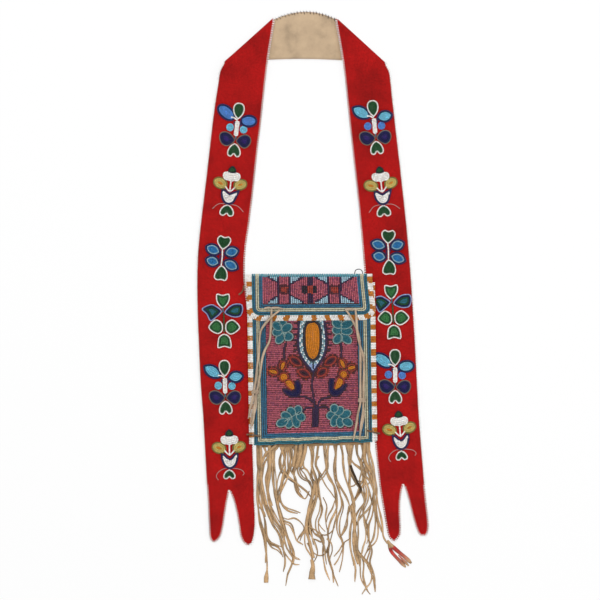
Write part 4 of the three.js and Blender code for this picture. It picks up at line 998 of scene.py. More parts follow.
def make_stitches(colours):
    """Dark stitches whipped over the upper edge of the neck, where the lining shows: partly thread, and
    partly painted shadow in the gaps between the edge beads.
    """
    inner = strap_rows()[1]
    turn = LEG_ROWS + SKEW_ROWS + FOLD_ROWS - 2
    points, ways = even_steps(inner[turn:len(inner) - turn, :2], 3.8)
    parts = []
    for i, (point, way) in enumerate(zip(points, ways)):
        inward = np.array([way[1], -way[0]])
        start = point - inward * 1.2
        end = point + inward * (2.2 + 0.7 * math.sin(i * 2.3)) + way * (1.0 + 0.5 * math.sin(i * 1.7))
        line = [(*start, 1.7), (*(start + end) / 2, 2.9), (*end, 2.5)]
        parts.append(tube(line, 0.85 + 0.2 * math.sin(i * 3.1), 6))
    mesh = join_parts("neck_stitches", parts)
    new_piece("neck_stitches", mesh, shared_material("stitch", colours))


def make_strap_edge(sizes, colours):
    """Stitches of two white beads, spaced along every edge of the strap and laid across it."""
    beads = Beads(sizes, colours, 3)
    cloth = strap_sheet("strap_edge_line", *WOOL_LAY)
    for points, outs, ups in sheet_border(cloth):
        joined = np.concatenate([points, outs, ups], axis=1)
        spans = distances(points)
        marks = np.arange(0, spans[-1], 1000 * sizes.edge_pitch)
        at = np.stack([np.interp(marks, spans, joined[:, k]) for k in range(9)], axis=1)
        out, up = unit(at[:, 3:6]), unit(at[:, 6:9])
        level = abs(up[:, 2]) > 0.5
        at, out, up = at[level], out[level], up[level]
        under = at[:, 2:3] < NECK_LEVEL
        up *= np.sign(up[~under[:, 0], 2].sum())
        x, y = at[:, 0], at[:, 1]
        slack = (x * out[:, 0] > 0) & (abs(x) > SLACK_OUTER[0]) & (y > SLACK_OUTER[1])
        slack |= (out[:, 0] > 0.5) & (x < 0) & (x > SLACK_TAIL[0]) & (y < SLACK_TAIL[1])
        for reach, rise in EDGE_STITCH:
            places = at[:, :3] + (reach + 0.5 * under + SLACK * (slack[:, None] & ~under)) * out + rise * up
            places[:, 2] = np.where(under[:, 0], 1.7, places[:, 2])
            beads.add(places, out + 0.25 * np.cross(out, up), up, "white", 0.76)
    bpy.data.meshes.remove(cloth)
    beads.piece("strap_edge_beads", "white_beads", ["strap_edging_inner", "strap_edging_outer"])


# Flowers on the strap, in mm up the leg from each flower's middle: filled outlines with the
# colours of their rows from the edge inwards, and lines of beads
def bar_flower(leaf, dots, form):
    shapes = [
        (petal_outline((0, 10.8), (-0.3, 31.4), 14.0, "drop"), ["white", "green"], 0.74, 1),
        (blob_outline([(-2.5, 8.6), (0, 9.6), (2.4, 8.6), (2.5, 0), (2.2, -8.4), (0, -9.6), (-2.5, -8.4),
                       (-2.8, 0)]), ["white"]),
        (petal_outline((-3.8, 10.2), (-25.8, 25.2), 16.8, form), ["navy", leaf], 1.25, 1),
        (petal_outline((2.6, 9.1), (23.8, 11.9), 16.0, form), ["navy", leaf], 1.25, 1),
        (disc_outline(-8.2, 0.6, 4.7, 4.9), [dots]),
        (disc_outline(8.2, -0.4, 4.7, 4.8), [dots]),
        (blob_outline([(-0.4, -14.4), (-5, -8), (-12, -4.8), (-18.8, -7), (-20, -13), (-16.5, -20),
                       (-10, -22.5), (-4, -19.5)]), ["grey", "navy", "navy", "violet"], 0.6, 1),
        (blob_outline([(0.6, -14.6), (5, -8.2), (11.5, -5.6), (17.5, -8.2), (19, -14), (16, -20.5),
                       (11, -23), (5, -20)]), ["grey", "navy", "navy", "violet"], 0.6, 1),
        (petal_outline((-0.3, -17.6), (0, -34.4), 16.4, "heart"), ["white", "green"], 0.74, 1),
    ]
    lines = [([(-7.6, 12.8), (-4.5, 12.4), (-1.2, 10.4)], "white"), ([(0, -10.4), (0, -13.4)], "teal"),
             ([(3.8, 7.4), (3.6, 3.4)], "navy"), ([(-3.8, 7.4), (-4, 4.6)], "navy")]
    return shapes, lines


OPEN_TULIP = [
    (-9.4, 0.9), (-4.8, 1.6), (-2.2, -0.4), (1, -2.2), (3.8, -0.6), (7.2, 0.8), (12.6, 2.4), (10.2, -7),
    (7.2, -13.8), (1.4, -16.8), (-4, -15.6), (-8.6, -10), (-10, -4),
]
DEEP_TULIP = [
    (-9.4, 1.8), (-5, 0.8), (1, -4.4), (6.4, 1), (11, 2.4), (11.4, -5), (8.2, -13.6), (1.2, -17.8),
    (-5.6, -14.6), (-9.6, -6),
]


def tulip_flower(body, heart, below):
    shapes = [
        (blob_outline([(-4.4, 22.8), (-3.9, 26.8), (0.6, 30.6), (5.1, 26.8), (5.6, 22.8), (0.6, 21.4)]),
         ["black", "green"], 0.8, 1),
        (blob_outline([(-10.2, 17.3), (-9, 21.6), (-4.2, 23.1), (0.6, 22.2), (5.4, 23.2), (10.1, 21.7),
                       (11.6, 17.3), (8.9, 12.6), (4.4, 12.3), (1.2, 11), (-2.3, 12), (-7, 12.6)]),
         ["white"]),
        (blob_outline(body), ["navy", "white"], 1.2, 1),
        (petal_outline((-3.2, 5.0), (-20.6, 11.2), 14.4, "oval"), ["moss", "olive", "olive", "gold"], 0.7, 1),
        (petal_outline((4.2, 5.2), (20.2, 12.6), 13.8, "oval"), ["moss", "olive", "olive", "gold"], 0.7, 1),
        (petal_outline((0, below), (0, below - 0.82 * heart), heart, "heart"), ["white", "green"], 0.74, 1),
    ]
    lines = [
        ([(0.6, 10.4), (0.6, 4), (0.8, -0.6)], "white"), ([(-4.6, 4.2), (-2.2, 1.4), (0.2, -0.4)], "white"),
        ([(5.8, 4.4), (3.6, 1.6), (1.4, -0.4)], "white"),
    ]
    return shapes, lines


def leaf_flower():
    leaf = ["navy", "sky", "cobalt"], 1.2, 0.6, 1
    shapes = [
        (blob_outline([(0.2, 7.6), (-6.6, 15.2), (-7, 21.6), (-3, 24.8), (1.6, 23), (6.8, 24), (10, 20.2),
                       (8.4, 14.2), (4.4, 10)]), ["white", "green"], 0.74, 1),
        (blob_outline([(-0.3, -11.2), (-6.4, -18.6), (-8, -26.6), (-4, -29.6), (1, -29), (6.2, -29.8),
                       (8.6, -25.6), (7.6, -18), (4.6, -13.6)]), ["white", "green"], 0.74, 1),
        (petal_outline((-1.2, 3.2), (-21.6, 10.6), 15.8, "leaf"), *leaf),
        (petal_outline((1.4, 2.8), (21.2, 8.4), 15.8, "leaf"), *leaf),
        (petal_outline((-1.2, -9.4), (-20.8, -4.8), 15.8, "leaf"), *leaf),
        (petal_outline((1.2, -6.0), (21.6, -14.4), 15.8, "leaf"), *leaf),
    ]
    return shapes, [([(0, 7.4), (0.4, 0), (0, -11)], "white"), ([(-2.1, 0.4), (-2.2, -5.6)], "navy"),
                    ([(2.5, 0), (2.4, -3)], "navy")]


def wing_flower():
    wing, petal = (["lilac", "navy", "green", "teal"], 0.62, 1), (["white", "green", "leaf"], 0.74, 1)
    shapes = [
        (blob_outline([(-0.6, 6.6), (-6.6, 12.2), (-8.6, 18.6), (-7.6, 24.6), (-0.4, 23.2), (7.2, 24.4),
                       (8.4, 18.6), (6, 12.2)]), *petal),
        (blob_outline([(-1.6, 3.4), (-7, 9), (-14, 12), (-26, 6.4), (-20.4, 0), (-15.6, -8.4), (-9.4, -5)]),
         *wing),
        (blob_outline([(1.4, 1.6), (7, 9), (13.2, 12), (22.4, 11.4), (24, 4.8), (20.6, -3.2), (13.2, -4.4),
                       (6.4, -2.4)]), *wing),
        (blob_outline([(-0.6, -14.4), (-2.6, -9.4), (-9.6, -6.2), (-18.4, -15.4), (-14, -21.2), (-6.2, -24),
                       (-1.4, -20.8)]), *petal),
        (blob_outline([(1.8, -17.6), (3, -10.8), (11, -6.6), (20.2, -16.2), (14.8, -22.6), (7.8, -25),
                       (3, -21.4)]), *petal),
        (blob_outline([(0.8, -23.6), (-5.6, -26.8), (-7.6, -34), (-7.4, -41), (0.6, -39.6), (8.6, -41.2),
                       (9.2, -34), (6.8, -26.8)]), *petal),
    ]
    return shapes, [([(0, 6.6), (-0.4, 2.6)], "teal"), ([(0.6, 0.4), (0.6, -14), (0.8, -22.6)], "green")]


# Middle of each flower, its lean to the left in degrees and its figures
TULIPS = [tulip_flower(OPEN_TULIP, 17.6, -16.2), tulip_flower(DEEP_TULIP, 14.8, -17.6)]
FLOWERS = {
    "left": [
        (-90.2, 275.8, -6.7, bar_flower("azure", "cyan", "oval")), (-99.2, 201.0, -7.0, TULIPS[0]),
        (-108.0, 123.0, -4.1, leaf_flower()), (-106.4, 53.4, 1.0, wing_flower()),
        (-104.2, -32.8, 1.7, bar_flower("cyan", "cyan", "leaf")), (-99.5, -115.2, 0.9, TULIPS[1]),
    ],
    "right": [
        (75.2, 278.8, 5.5, bar_flower("cyan", "azure", "leaf")), (83.4, 200.4, 6.2, TULIPS[0]),
        (91.2, 130.0, 2.4, leaf_flower()), (96.0, 64.2, 2.9, wing_flower()),
        (99.9, -19.9, 0.3, bar_flower("cyan", "azure", "oval")), (105.4, -92.6, 4.7, TULIPS[1]),
    ],
}
# The flower, by its place on its leg, whose inner wing reaches the pouch
REACHING_FLOWER = 4
# The tulips' whiskers, by the flower's place on its leg
WHISKERS = {
    2: ([(-3.0, -15.6), (-11.0, -17.0), (-17.8, -23.8)], [(3.0, -15.6), (12.3, -17.0), (19.9, -23.0)]),
    6: ([(-3.0, -16.4), (-7.0, -17.0), (-13.5, -21.3), (-15.7, -26.0), (-13.3, -30.4)],
        [(3.0, -16.4), (7.6, -16.8), (14.7, -18.8), (17.8, -22.8), (15.9, -25.2)]),
}
POUCH_CLEAR = POUCH_SIDE + 6.0


def make_flowers(sizes, colours):
    """The bead flowers of both legs, each over its own plates of painted shade, and the tulips' whiskers."""
    level = CLOTH_TOP + 480 * sizes.bead_diameter
    whiskers = []
    for side, flowers in FLOWERS.items():
        for number, (x, y, lean, (shapes, lines)) in enumerate(flowers, 1):
            figure = Figure(sizes)
            for points, key in lines:
                figure.line(points, key)
            for outline, keys, *row_spans in shapes:
                figure.fill(outline, keys, row_spans or (1.0,))
            lean = math.radians(lean)
            turn = np.array([[math.cos(lean), math.sin(lean)], [-math.sin(lean), math.cos(lean)]])
            places, ways, keys, spans = figure.arrays()
            spots, heads = at_height(places @ turn + [x, y], level), at_height(ways @ turn, 0.0)
            beads = Beads(sizes, colours, 10 * number + (5 if side == "left" else 0))
            clear = (abs(spots[:, 0]) > POUCH_CLEAR) | (spots[:, 1] > POUCH_TOP - 4)
            keys = [key for key, kept in zip(keys, clear) if kept]
            beads.add(spots[clear], heads[clear], (0, 0, 1), keys, spans[clear])
            # Plates under the figures, darkened as painted shade between the beads
            for outline, key, row in figure.grounds:
                corners = outline @ turn + [x, y]
                if number == REACHING_FLOWER:
                    corners[:, 0] = np.copysign(np.maximum(abs(corners[:, 0]), POUCH_CLEAR), x)
                beads.ground(at_height(corners, CLOTH_TOP + 0.6 + 0.1 * row), key)
            for bend in WHISKERS.get(number, ()):
                line = rounded_path(bend, 1.6)[0] @ turn + [x, y]
                whiskers.append(tube(at_height(line, CLOTH_TOP + 0.4), 0.9, 6))
            beads.piece(f"{side}_flower_{number}", "green_beads", [f"{side}_strap_flower_{number}"])
    mesh = join_parts("flower_whiskers", whiskers)
    new_piece("flower_whiskers", mesh, shared_material("blush", colours))


# Pouch
def make_pouch(sizes, colours):
    """The hide panels of the pouch: its back, and the front that carries the beads."""
    xs = np.linspace(-POUCH_SIDE, POUCH_SIDE, 49)
    ys = np.linspace(-POUCH_TOP, MOUTH_Y, 61)
    thick = 1000 * sizes.hide_thickness
    for name, level, finish, node in (
        ("pouch_back_hide", back_level, "buckskin", "pouch_back"),
        ("pouch_front_hide", front_level, "backing", "pouch_front"),
    ):
        mesh = panel_mesh(name, xs, ys, level, thick)
        tint_mesh(mesh)
        piece = new_piece(name, mesh, shared_material(finish, colours), [node])


def front_spots(places, lift):
    """Points over the pouch's front, from square places and a height over its hide."""
    x, y = places[:, 0], places[:, 1]
    px, py = lay(x, y)
    return np.stack([px, py, front_level(x, y) + BACKING + lift], axis=1)


# The plant's figures, in mm from the pouch's middle
PLANT_BUD = [
    (1.0, 46.0), (-6.6, 43.4), (-9.9, 36.0), (-10.5, 22.0), (-9.4, 9.0), (-5.6, 0.0), (1.0, -4.0),
    (7.6, 0.0), (11.4, 9.0), (12.5, 22.0), (11.9, 36.0), (8.6, 43.4),
]
PLANT_FRAME = [
    (-16.6, 48.0), (-17.2, 31.0), (-17.8, 20.0), (-17.2, 11.0), (-14.4, 2.2), (-9.0, -6.4), (-4.0, -12.4),
    (1.4, -17.8), (5.6, -12.4), (10.0, -6.4), (15.2, 2.2), (18.0, 11.0), (19.0, 20.0), (18.4, 31.0),
    (16.4, 48.0),
]
PLANT_SPIKES = [42.1, 36.2, 29.8, 22.8, 16.4, 10.2]
PLANT_STEMS = [
    [(1.5, -18.4), (0.2, -24.2), (-0.5, -32.9), (1.0, -44.7), (2.6, -57.0), (1.8, -81.5)],
    [(4.4, -56.5), (3.8, -81.5)], [(6.2, -58.5), (5.6, -81.5)], [(0.6, -60.0), (-0.2, -81.5)],
    [(2.0, -54.2), (-2.7, -48.9), (-9.1, -45.6), (-16.7, -44.6)],
    [(6.6, -56.5), (8.6, -50.6), (14.5, -47.5), (22.1, -45.6)],
    [(0.6, -59.3), (-4.8, -58.6), (-9.6, -60.2), (-12.3, -63.9)],
    [(8.2, -59.3), (10.2, -58.0), (15.6, -58.0), (19.3, -61.3)],
    [(-30.4, 18.6), (-33.0, 13.2), (-33.2, 0.8)], [(34.8, 18.0), (35.4, 10.0), (34.8, 0.6)],
]
PLANT_CUPS = [
    [(-36.4, -36.1), (-32.7, -41.6), (-26.2, -45.6), (-17.7, -45.6), (-13.7, -40.4), (-13.4, -30.7),
     (-17.1, -25.2), (-21.0, -26.6), (-21.4, -36.4), (-24.6, -37.8), (-30.5, -36.0)],
    [(19.1, -30.7), (20.9, -24.1), (26.1, -24.2), (26.0, -36.8), (30.6, -36.9), (38.1, -30.9),
     (42.3, -30.7), (38.8, -38.8), (30.8, -45.5), (24.0, -45.6), (19.8, -40.4)],
]
PLANT_WEDGES = [
    [(-32.4, -27.3), (-28.4, -25.5), (-24.7, -27.5), (-21.4, -35.4), (-23.2, -37.0), (-28.2, -34.0)],
    [(27.2, -37.6), (28.7, -29.7), (32.2, -24.0), (36.3, -26.2), (36.1, -30.9), (31.8, -35.6)],
]
PLANT_DOTS = [(-33.9, -21.8, 4.3), (37.6, -19.6, 4.1)]
PLANT_PRONGS = [
    [(-36.9, -13.0), (-33.4, -2.9)], [(-51.9, -13.4), (-41.0, -16.6)],
    [(34.1, -1.4), (38.9, -12.0)], [(42.4, -12.6), (51.9, -10.8)],
]
PLANT_SMALL_LEAVES = [
    [(-12.3, -8.2), (-27.5, 2.2)], [(-1.6, -21.1), (-17.9, -13.6)],
    [(14.5, -8.2), (29.7, 1.6)], [(5.4, -21.1), (18.0, -11.8)],
]
PLANT_LEAVES = {
    "upper_left": [
        [(-37.6, 36.6), (-46.6, 43.6)], [(-37.0, 33.8), (-47.4, 30.2)], [(-34.8, 28.8), (-42.4, 18.4)],
        [(-33.8, 34.4), (-23.4, 40.8)], [(-31.8, 26.0), (-21.7, 27.4)], [(-34.4, 39.4), (-34.6, 47.2)],
    ],
    "upper_right": [
        [(34.4, 38.6), (25.0, 45.6)], [(34.4, 33.6), (24.2, 34.0)], [(34.4, 26.4), (26.1, 18.4)],
        [(37.0, 38.4), (50.0, 43.9)], [(37.0, 33.0), (49.5, 32.6)], [(36.6, 27.3), (47.4, 17.8)],
    ],
    "lower_left": [
        [(-32.2, -73.8), (-44.1, -78.6)], [(-28.0, -70.0), (-38.4, -65.0)], [(-23.6, -66.4), (-29.4, -57.8)],
        [(-19.6, -64.8), (-15.3, -55.7)], [(-17.4, -66.4), (-10.0, -73.8)], [(-21.4, -69.2), (-18.5, -82.7)],
        [(-27.2, -72.0), (-30.2, -83.2)],
    ],
    "lower_right": [
        [(25.2, -64.0), (26.3, -54.6)], [(28.6, -66.3), (36.6, -58.9)], [(33.8, -69.6), (45.8, -64.6)],
        [(37.4, -74.1), (47.4, -81.3)], [(32.8, -72.6), (32.7, -84.0)], [(28.6, -69.8), (22.9, -82.4)],
        [(24.4, -66.2), (17.0, -72.2)],
    ],
}
PLANT_RIBS = [
    [(-38.6, 45.3), (-35.3, 33.6), (-31.6, 21.8)], [(36.0, 45.3), (35.6, 32.5), (35.0, 19.6)],
    [(-33.7, -74.1), (-25.2, -69.3), (-16.6, -63.4)], [(24.1, -65.0), (31.6, -70.4), (37.0, -74.1)],
]


def plant_figures(sizes):
    """The plant's beads, gathered under the names of its pieces."""
    taken = Figure(sizes)
    found = {}

    def worked(name, *steps):
        start, grounds = len(taken.places), len(taken.grounds)
        for step in steps:
            step()
        parts = (taken.places[start:], taken.ways[start:], taken.keys[start:], taken.spans[start:])
        found[name] = (*(np.array(p) if k != 2 else p for k, p in enumerate(parts)), taken.grounds[grounds:])

    def stripes(point):
        if inside(blob_outline(PLANT_BUD), point)[0]:
            return "black"
        if point[1] < -6.5:
            return "lilac"
        return ("white", "sky", "slate")[int((point[1] * 0.72 + abs(point[0] - 1.2) * 0.9) // 1.9) % 3]

    def bud():
        taken.fill(blob_outline(PLANT_BUD), ["black", "gold"], (1.5, 1.0), 3)

    def bud_frame():
        edge = rounded_path(PLANT_FRAME, FINE_STEP)[0]
        taken.line([(1.2, -4.5), (1.4, -12.0)], "black")
        taken.fill(np.concatenate([edge, [(0.0, 50.0)]]), ["grape", stripes], (1.3, 1.0))
        for y in PLANT_SPIKES:
            row = edge[np.argsort(abs(edge[:, 1] - y))[:8]]
            for out, x in ((-1, row[:, 0].min()), (1, row[:, 0].max())):
                taken.line([(x + 0.4 * out, y), (x + 3.8 * out, y - 0.4)], "grape", 0.8)

    def stems():
        for points in PLANT_STEMS:
            taken.line(points, "grape")

    def blossom(k):
        wedge, prongs = blob_outline(PLANT_WEDGES[k]), PLANT_PRONGS[2 * k:2 * k + 2]
        taken.fill(wedge, ["gold"])
        taken.fill(blob_outline(PLANT_CUPS[k]), ["grape", "navy"])
        taken.rim(wedge.mean(axis=0) + (wedge - wedge.mean(axis=0)) * 1.24, "brick", 0.75)
        x, y, half = PLANT_DOTS[k]
        taken.fill(disc_outline(x, y, half, half), ["gold"])
        for base, tip in prongs:
            taken.fill(petal_outline(base, tip, 4.4, "leaf"), ["gold"])
        turn = np.linspace(0, 2 * math.pi, 60)
        ring = np.stack([x + (half + 1.0) * np.cos(turn), y + (half + 1.0) * np.sin(turn)], axis=1)
        taken.thread(*even_steps(ring, FINE_STEP), "brick", 0.85)
        for base, tip in prongs:
            taken.rim(petal_outline(base, tip, 8.2, "leaf"), "brick", 0.85)

    def leaf(name):
        ribs = list(PLANT_LEAVES).index(name)
        taken.line(PLANT_RIBS[ribs], "mist", 0.6)
        lobes = np.array(PLANT_LEAVES[name])
        for base, tip in lobes:
            outline = petal_outline(base - 0.22 * (tip - base), tip, 10.8, "oval")
            taken.fill(outline, ["mist", "teal"], (0.6, 1.0))
        core = lobes[:, 0] + 0.62 * (lobes[:, 1] - lobes[:, 0])
        off = core - core.mean(axis=0)
        taken.fill(blob_outline(core[np.argsort(np.arctan2(off[:, 1], off[:, 0]))]), ["teal"])

    def small_leaf(k):
        outline = petal_outline(*PLANT_SMALL_LEAVES[k], 10.4, "leaf")
        taken.fill(outline, ["brick", "wine", "black"], (0.9, 1.0))

    worked("bud", bud)
    worked("bud_frame", bud_frame)
    worked("stem", stems)
    for k, side in enumerate(("left", "right")):
        worked("blossom_" + side, lambda: blossom(k))
    for name in PLANT_LEAVES:
        worked("leaf_" + name, lambda: leaf(name))
    for k in range(4):
        worked(f"small_leaf_{k + 1}", lambda: small_leaf(k))
    return found


def make_pouch_beads(sizes, colours):
    """Rose rows, plant, border lines and wrapped side edgings of the pouch."""
    plant = plant_figures(sizes)
    slots = {"bud": "gold_beads", "bud_frame": "sky_beads", "stem": "purple_beads"}
    for number, (name, (places, ways, keys, spans, grounds)) in enumerate(plant.items()):
        beads = Beads(sizes, colours, 100 + number)
        # Plates under the plant's figures, darkened as painted shade between the beads
        for outline, key, row in grounds:
            beads.ground(front_spots(outline, 0.8 + 0.08 * row), key)
        beads.add(front_spots(places, 1.55), at_height(ways, 0.0), (0, 0, 1), keys, spans)
        slot = slots.get(name, "teal_beads" if "upper" in name or "lower" in name else "gold_beads")
        beads.piece("beaded_" + name, slot, ["plant_" + name])
    make_rose_field(sizes, colours, plant)
    make_pouch_border(sizes, colours)
    make_side_edgings(sizes, colours)


# Y and X between which the rose rows lie, in mm
ROSE_LEVELS = (-88.0, 62.0)
ROSE_SIDES = (-54.2, 54.6)
# The rows are darker this near the blossoms and small leaves, down to a level
SHADED_REACH = 3.4
SHADED_ABOVE = -24.0


def make_rose_field(sizes, colours, plant):
    """Level rows of rose beads round the plant, as far up as the flap hides them."""
    taken = np.concatenate([figure[0] for figure in plant.values()])
    spans = np.concatenate([figure[3] for figure in plant.values()])
    grounds = [outline for figure in plant.values() for outline, *rest in figure[4]]
    dim = np.concatenate([
        figure[0] for name, figure in plant.items() if name.startswith(("blossom", "small_leaf"))
    ])
    dim = dim[dim[:, 1] > SHADED_ABOVE]
    beads = Beads(sizes, colours, 130)
    random = np.random.default_rng(SEED + 131)
    step = 1040 * sizes.bead_length
    for y in np.arange(*ROSE_LEVELS, 1000 * sizes.row_pitch):
        xs = np.arange(ROSE_SIDES[0] + random.uniform(0, 1), ROSE_SIDES[1], step)
        places = np.stack([xs, np.full(len(xs), y) + random.normal(0, 0.08, len(xs))], axis=1)
        gaps = np.sqrt(((places[:, None] - taken[None]) ** 2).sum(axis=2))
        clear = (gaps > 0.84 * (1 + spans)).all(axis=1)
        for outline in grounds:
            clear &= ~inside(outline, places)
        places = places[clear]
        dark = 0.3 + 0.25 * math.sin(y * 0.9) + random.uniform(-0.2, 0.2)
        keys = np.where(random.uniform(size=len(places)) < dark, "plum", "rose")
        close = np.linalg.norm(places[:, None] - dim[None], axis=2).min(axis=1) < SHADED_REACH
        keys = np.where(close, np.where(np.arange(len(places)) % 3, "wine", "brick"), keys)
        beads.add(front_spots(places, 1.15), (1, 0, 0), (0, 0, 1), keys)
    beads.piece("pouch_rose_rows", "rose_beads", ["pouch_field"])


SIDE_LINES = ["teal", "blue", "cream", "cream", "blue", "blue", "blue"]
FOOT_LINES = ["teal", "teal", "cream", "cream", "blue", "blue", "blue"]


def make_pouch_border(sizes, colours):
    """Lines of blue, cream and blue beads down the pouch's sides and along its foot."""
    beads = Beads(sizes, colours, 140)
    for k in range(len(SIDE_LINES)):
        side = POUCH_SIDE - 1.1 - 2.3 * k
        foot = -POUCH_TOP + 1.0 + 2.0 * k
        line = np.array([(-side, 60.0), (-side, foot), (side, foot), (side, 60.0)])
        for a, b, key in ((0, 1, SIDE_LINES[k]), (1, 2, FOOT_LINES[k]), (2, 3, SIDE_LINES[k])):
            places, ways = even_steps(line[a:b + 1], 1030 * sizes.bead_length)
            places = places[1:] if a else places
            ways = at_height(ways[-len(places):], 0.0)
            if a == 1:
                sway = 0.55 * np.sin(0.16 * places[:, 0] + 1.0) + 0.4 * np.sin(0.41 * places[:, 0])
                places = places + np.outer(sway * (1 - k / len(SIDE_LINES)), [0, 1])
            beads.add(front_spots(places, 1.15), ways, (0, 0, 1), key)
    beads.piece("pouch_border_lines", "blue_beads", ["pouch_border"])


def wrapped_rows(beads, line_at, spot, rows, centres, block=6.2):
    """Short rows of beads that wrap outwards over an edge, white with orange blocks about given centres."""
    step = 940 * beads.sizes.bead_diameter
    reach = line_length(line_at(0.0))
    for out, drop, dip in rows:
        places, ways = even_steps(line_at(out), step)
        outs = np.stack([ways[:, 1], -ways[:, 0]], axis=1)
        run = np.linspace(0, reach, len(places))
        near = abs(run[:, None] - np.asarray(centres)).min(axis=1)
        heads = at_height(outs, -dip)
        beads.add(spot(places, drop), heads, (0, 0, 1), np.where(near < block / 2, "orange", "white"))


SIDE_ROWS = [(0.5, 0.4, 0.1), (2.0, 0.1, 0.3), (3.5, -0.5, 0.5), (4.9, -1.5, 0.9)]
SIDE_RUN = (MOUTH_Y - 2, -99.5)


def make_side_edgings(sizes, colours):
    """White and orange beads wrapped over the pouch's two side seams."""
    def spot(at, drop):
        return at_height(np.stack(lay(at[:, 0], at[:, 1]), axis=1), FRONT_EDGE + 2.2 + drop)

    for name, sign, first, period, seed in (("left", -1, 0.2, 16.3, 150), ("right", 1, 11.8, 15.7, 151)):
        def line_at(out):
            x = sign * (POUCH_SIDE + out)
            return np.array([(x, y) for y in SIDE_RUN[::-sign]], float)

        beads = Beads(sizes, colours, seed)
        wrapped_rows(beads, line_at, spot, SIDE_ROWS, first + period * np.arange(-1, 14))
        beads.piece(f"pouch_edging_beads_{name}", "white_beads", [f"pouch_edging_{name}"])


# Flap
FLAP_RISE = TURN_Y - FLAP_FOOT
FLAP_TAPER = 3.6
# Middles of the orange blocks, in mm along the flap's edge from its upper left corner
FLAP_BLOCKS = [
    9.6, 25.3, 40.8, 53.9, 69.9, 85.4, 101.1, 117.3, 133.1, 148.5, 163.6, 178.9, 191.3, 207.7, 223.7,
]


def flap_spots(places, lift):
    """Points over the flap and the outward directions there. A place's second number is its way up
    from the flap's foot, over the face and then round the turn."""
    x, run = places[:, 0], places[:, 1]
    drop = CROWN * (1 - crown_share(POUCH_SIDE - np.abs(x))) * np.clip((FLAP_RISE - run) / 12, 0, 1)
    radius = TURN_RADIUS + lift
    angle = np.clip((run - FLAP_RISE) / radius, 0, math.pi)
    y = FLAP_FOOT + np.minimum(run, FLAP_RISE)
    px, py = lay(x, y)
    px = px - FLAP_TAPER * np.clip(x / POUCH_SIDE, 0, None) * np.clip((y - 56) / 38, 0, 1)
    height = FLAP_MID - drop - TURN_RADIUS + radius * np.cos(angle)
    spots = np.stack([px, py + radius * np.sin(angle), height], axis=1)
    ups = np.stack([np.zeros(len(x)), np.sin(angle), np.cos(angle)], axis=1)
    return spots, ups


def flap_half_width(run):
    """Half of the flap's width: its lower corners are rounded."""
    short = max(FLAP_CORNER - run, 0.0)
    return POUCH_SIDE - FLAP_CORNER + math.sqrt(max(FLAP_CORNER**2 - short**2, 0.0))


def flap_line(inset, top):
    """A line round the flap's face at an inset: down its left side, along its foot and up its right."""
    side, low = POUCH_SIDE - inset, inset
    bend = max(FLAP_CORNER - inset, 0.6)
    turn = np.linspace(0, math.pi / 2, 9)
    left = np.stack([-side + bend - bend * np.cos(turn), low + bend - bend * np.sin(turn)], axis=1)
    right = np.stack([side - bend + bend * np.sin(turn), low + bend - bend * np.cos(turn)], axis=1)
    return np.concatenate([[(-side, top)], left, right, [(side, top)]])


# The flap's pattern, in mm: its middle level and its top, the middle cross's post and arms by X, the dark
# bars by middle and half width, the boxes by their two sides, the hourglasses by wide and narrow end
PATTERN_Y, PATTERN_TOP = 82.8, 98.2
PATTERN_POST, PATTERN_ARMS = (-6.3, 0.6), (-12.6, 6.4)
PATTERN_BARS = ((-40.4, 1.25), (-26.4, 1.25), (-2.9, 3.4), (19.4, 1.25), (33.6, 1.25))
PATTERN_BOXES = ((-39.2, -27.6), (20.6, 32.4))
PATTERN_GLASSES = ((-53.4, -39.3), (-10.4, -25.2), (3.0, 18.4), (50.8, 34.8))


def flap_figure(x, y):
    """Colour of the flap's field at a point: rose hourglasses between navy bars, on pale blue."""
    away = abs(y - PATTERN_Y)
    if y > PATTERN_TOP:
        return "lagoon"
    if PATTERN_POST[0] < x < PATTERN_POST[1]:
        return "brick" if away < 4.9 else "grape"
    if any(abs(x - middle) < half for middle, half in PATTERN_BARS):
        return "grape"
    if PATTERN_ARMS[0] < x < PATTERN_ARMS[1] and away < 5.0:
        return "black"
    for low, high in PATTERN_BOXES:
        if low < x < high:
            if away < 3.4 and low + 1.6 < x < high - 1.6:
                return "brick"
            return "wine" if away < 5.6 else "rose"
    for wide, narrow in PATTERN_GLASSES:
        if min(wide, narrow) - 0.1 < x < max(wide, narrow) + 0.1:
            reach = 15.4 - 8.8 * (x - wide) / (narrow - wide)
            if away > reach + 1.1:
                return "sky"
            return "grape" if away > reach - 1.1 else "rose"
    return "rose"


FLAP_LINES = ["teal", "blue", "cream", "cream", "blue", "blue"]
# Rows of the flap's edging: how far out they lie, how high, and how steeply their beads dip
FLAP_ROWS = [(0.7, 0.2, 0.15), (2.35, 0.0, 0.25), (4.0, -0.5, 0.45), (5.6, -1.3, 0.8)]
# Thickness of the flap's hide as a share of the pouch's
FLAP_THIN = 0.8


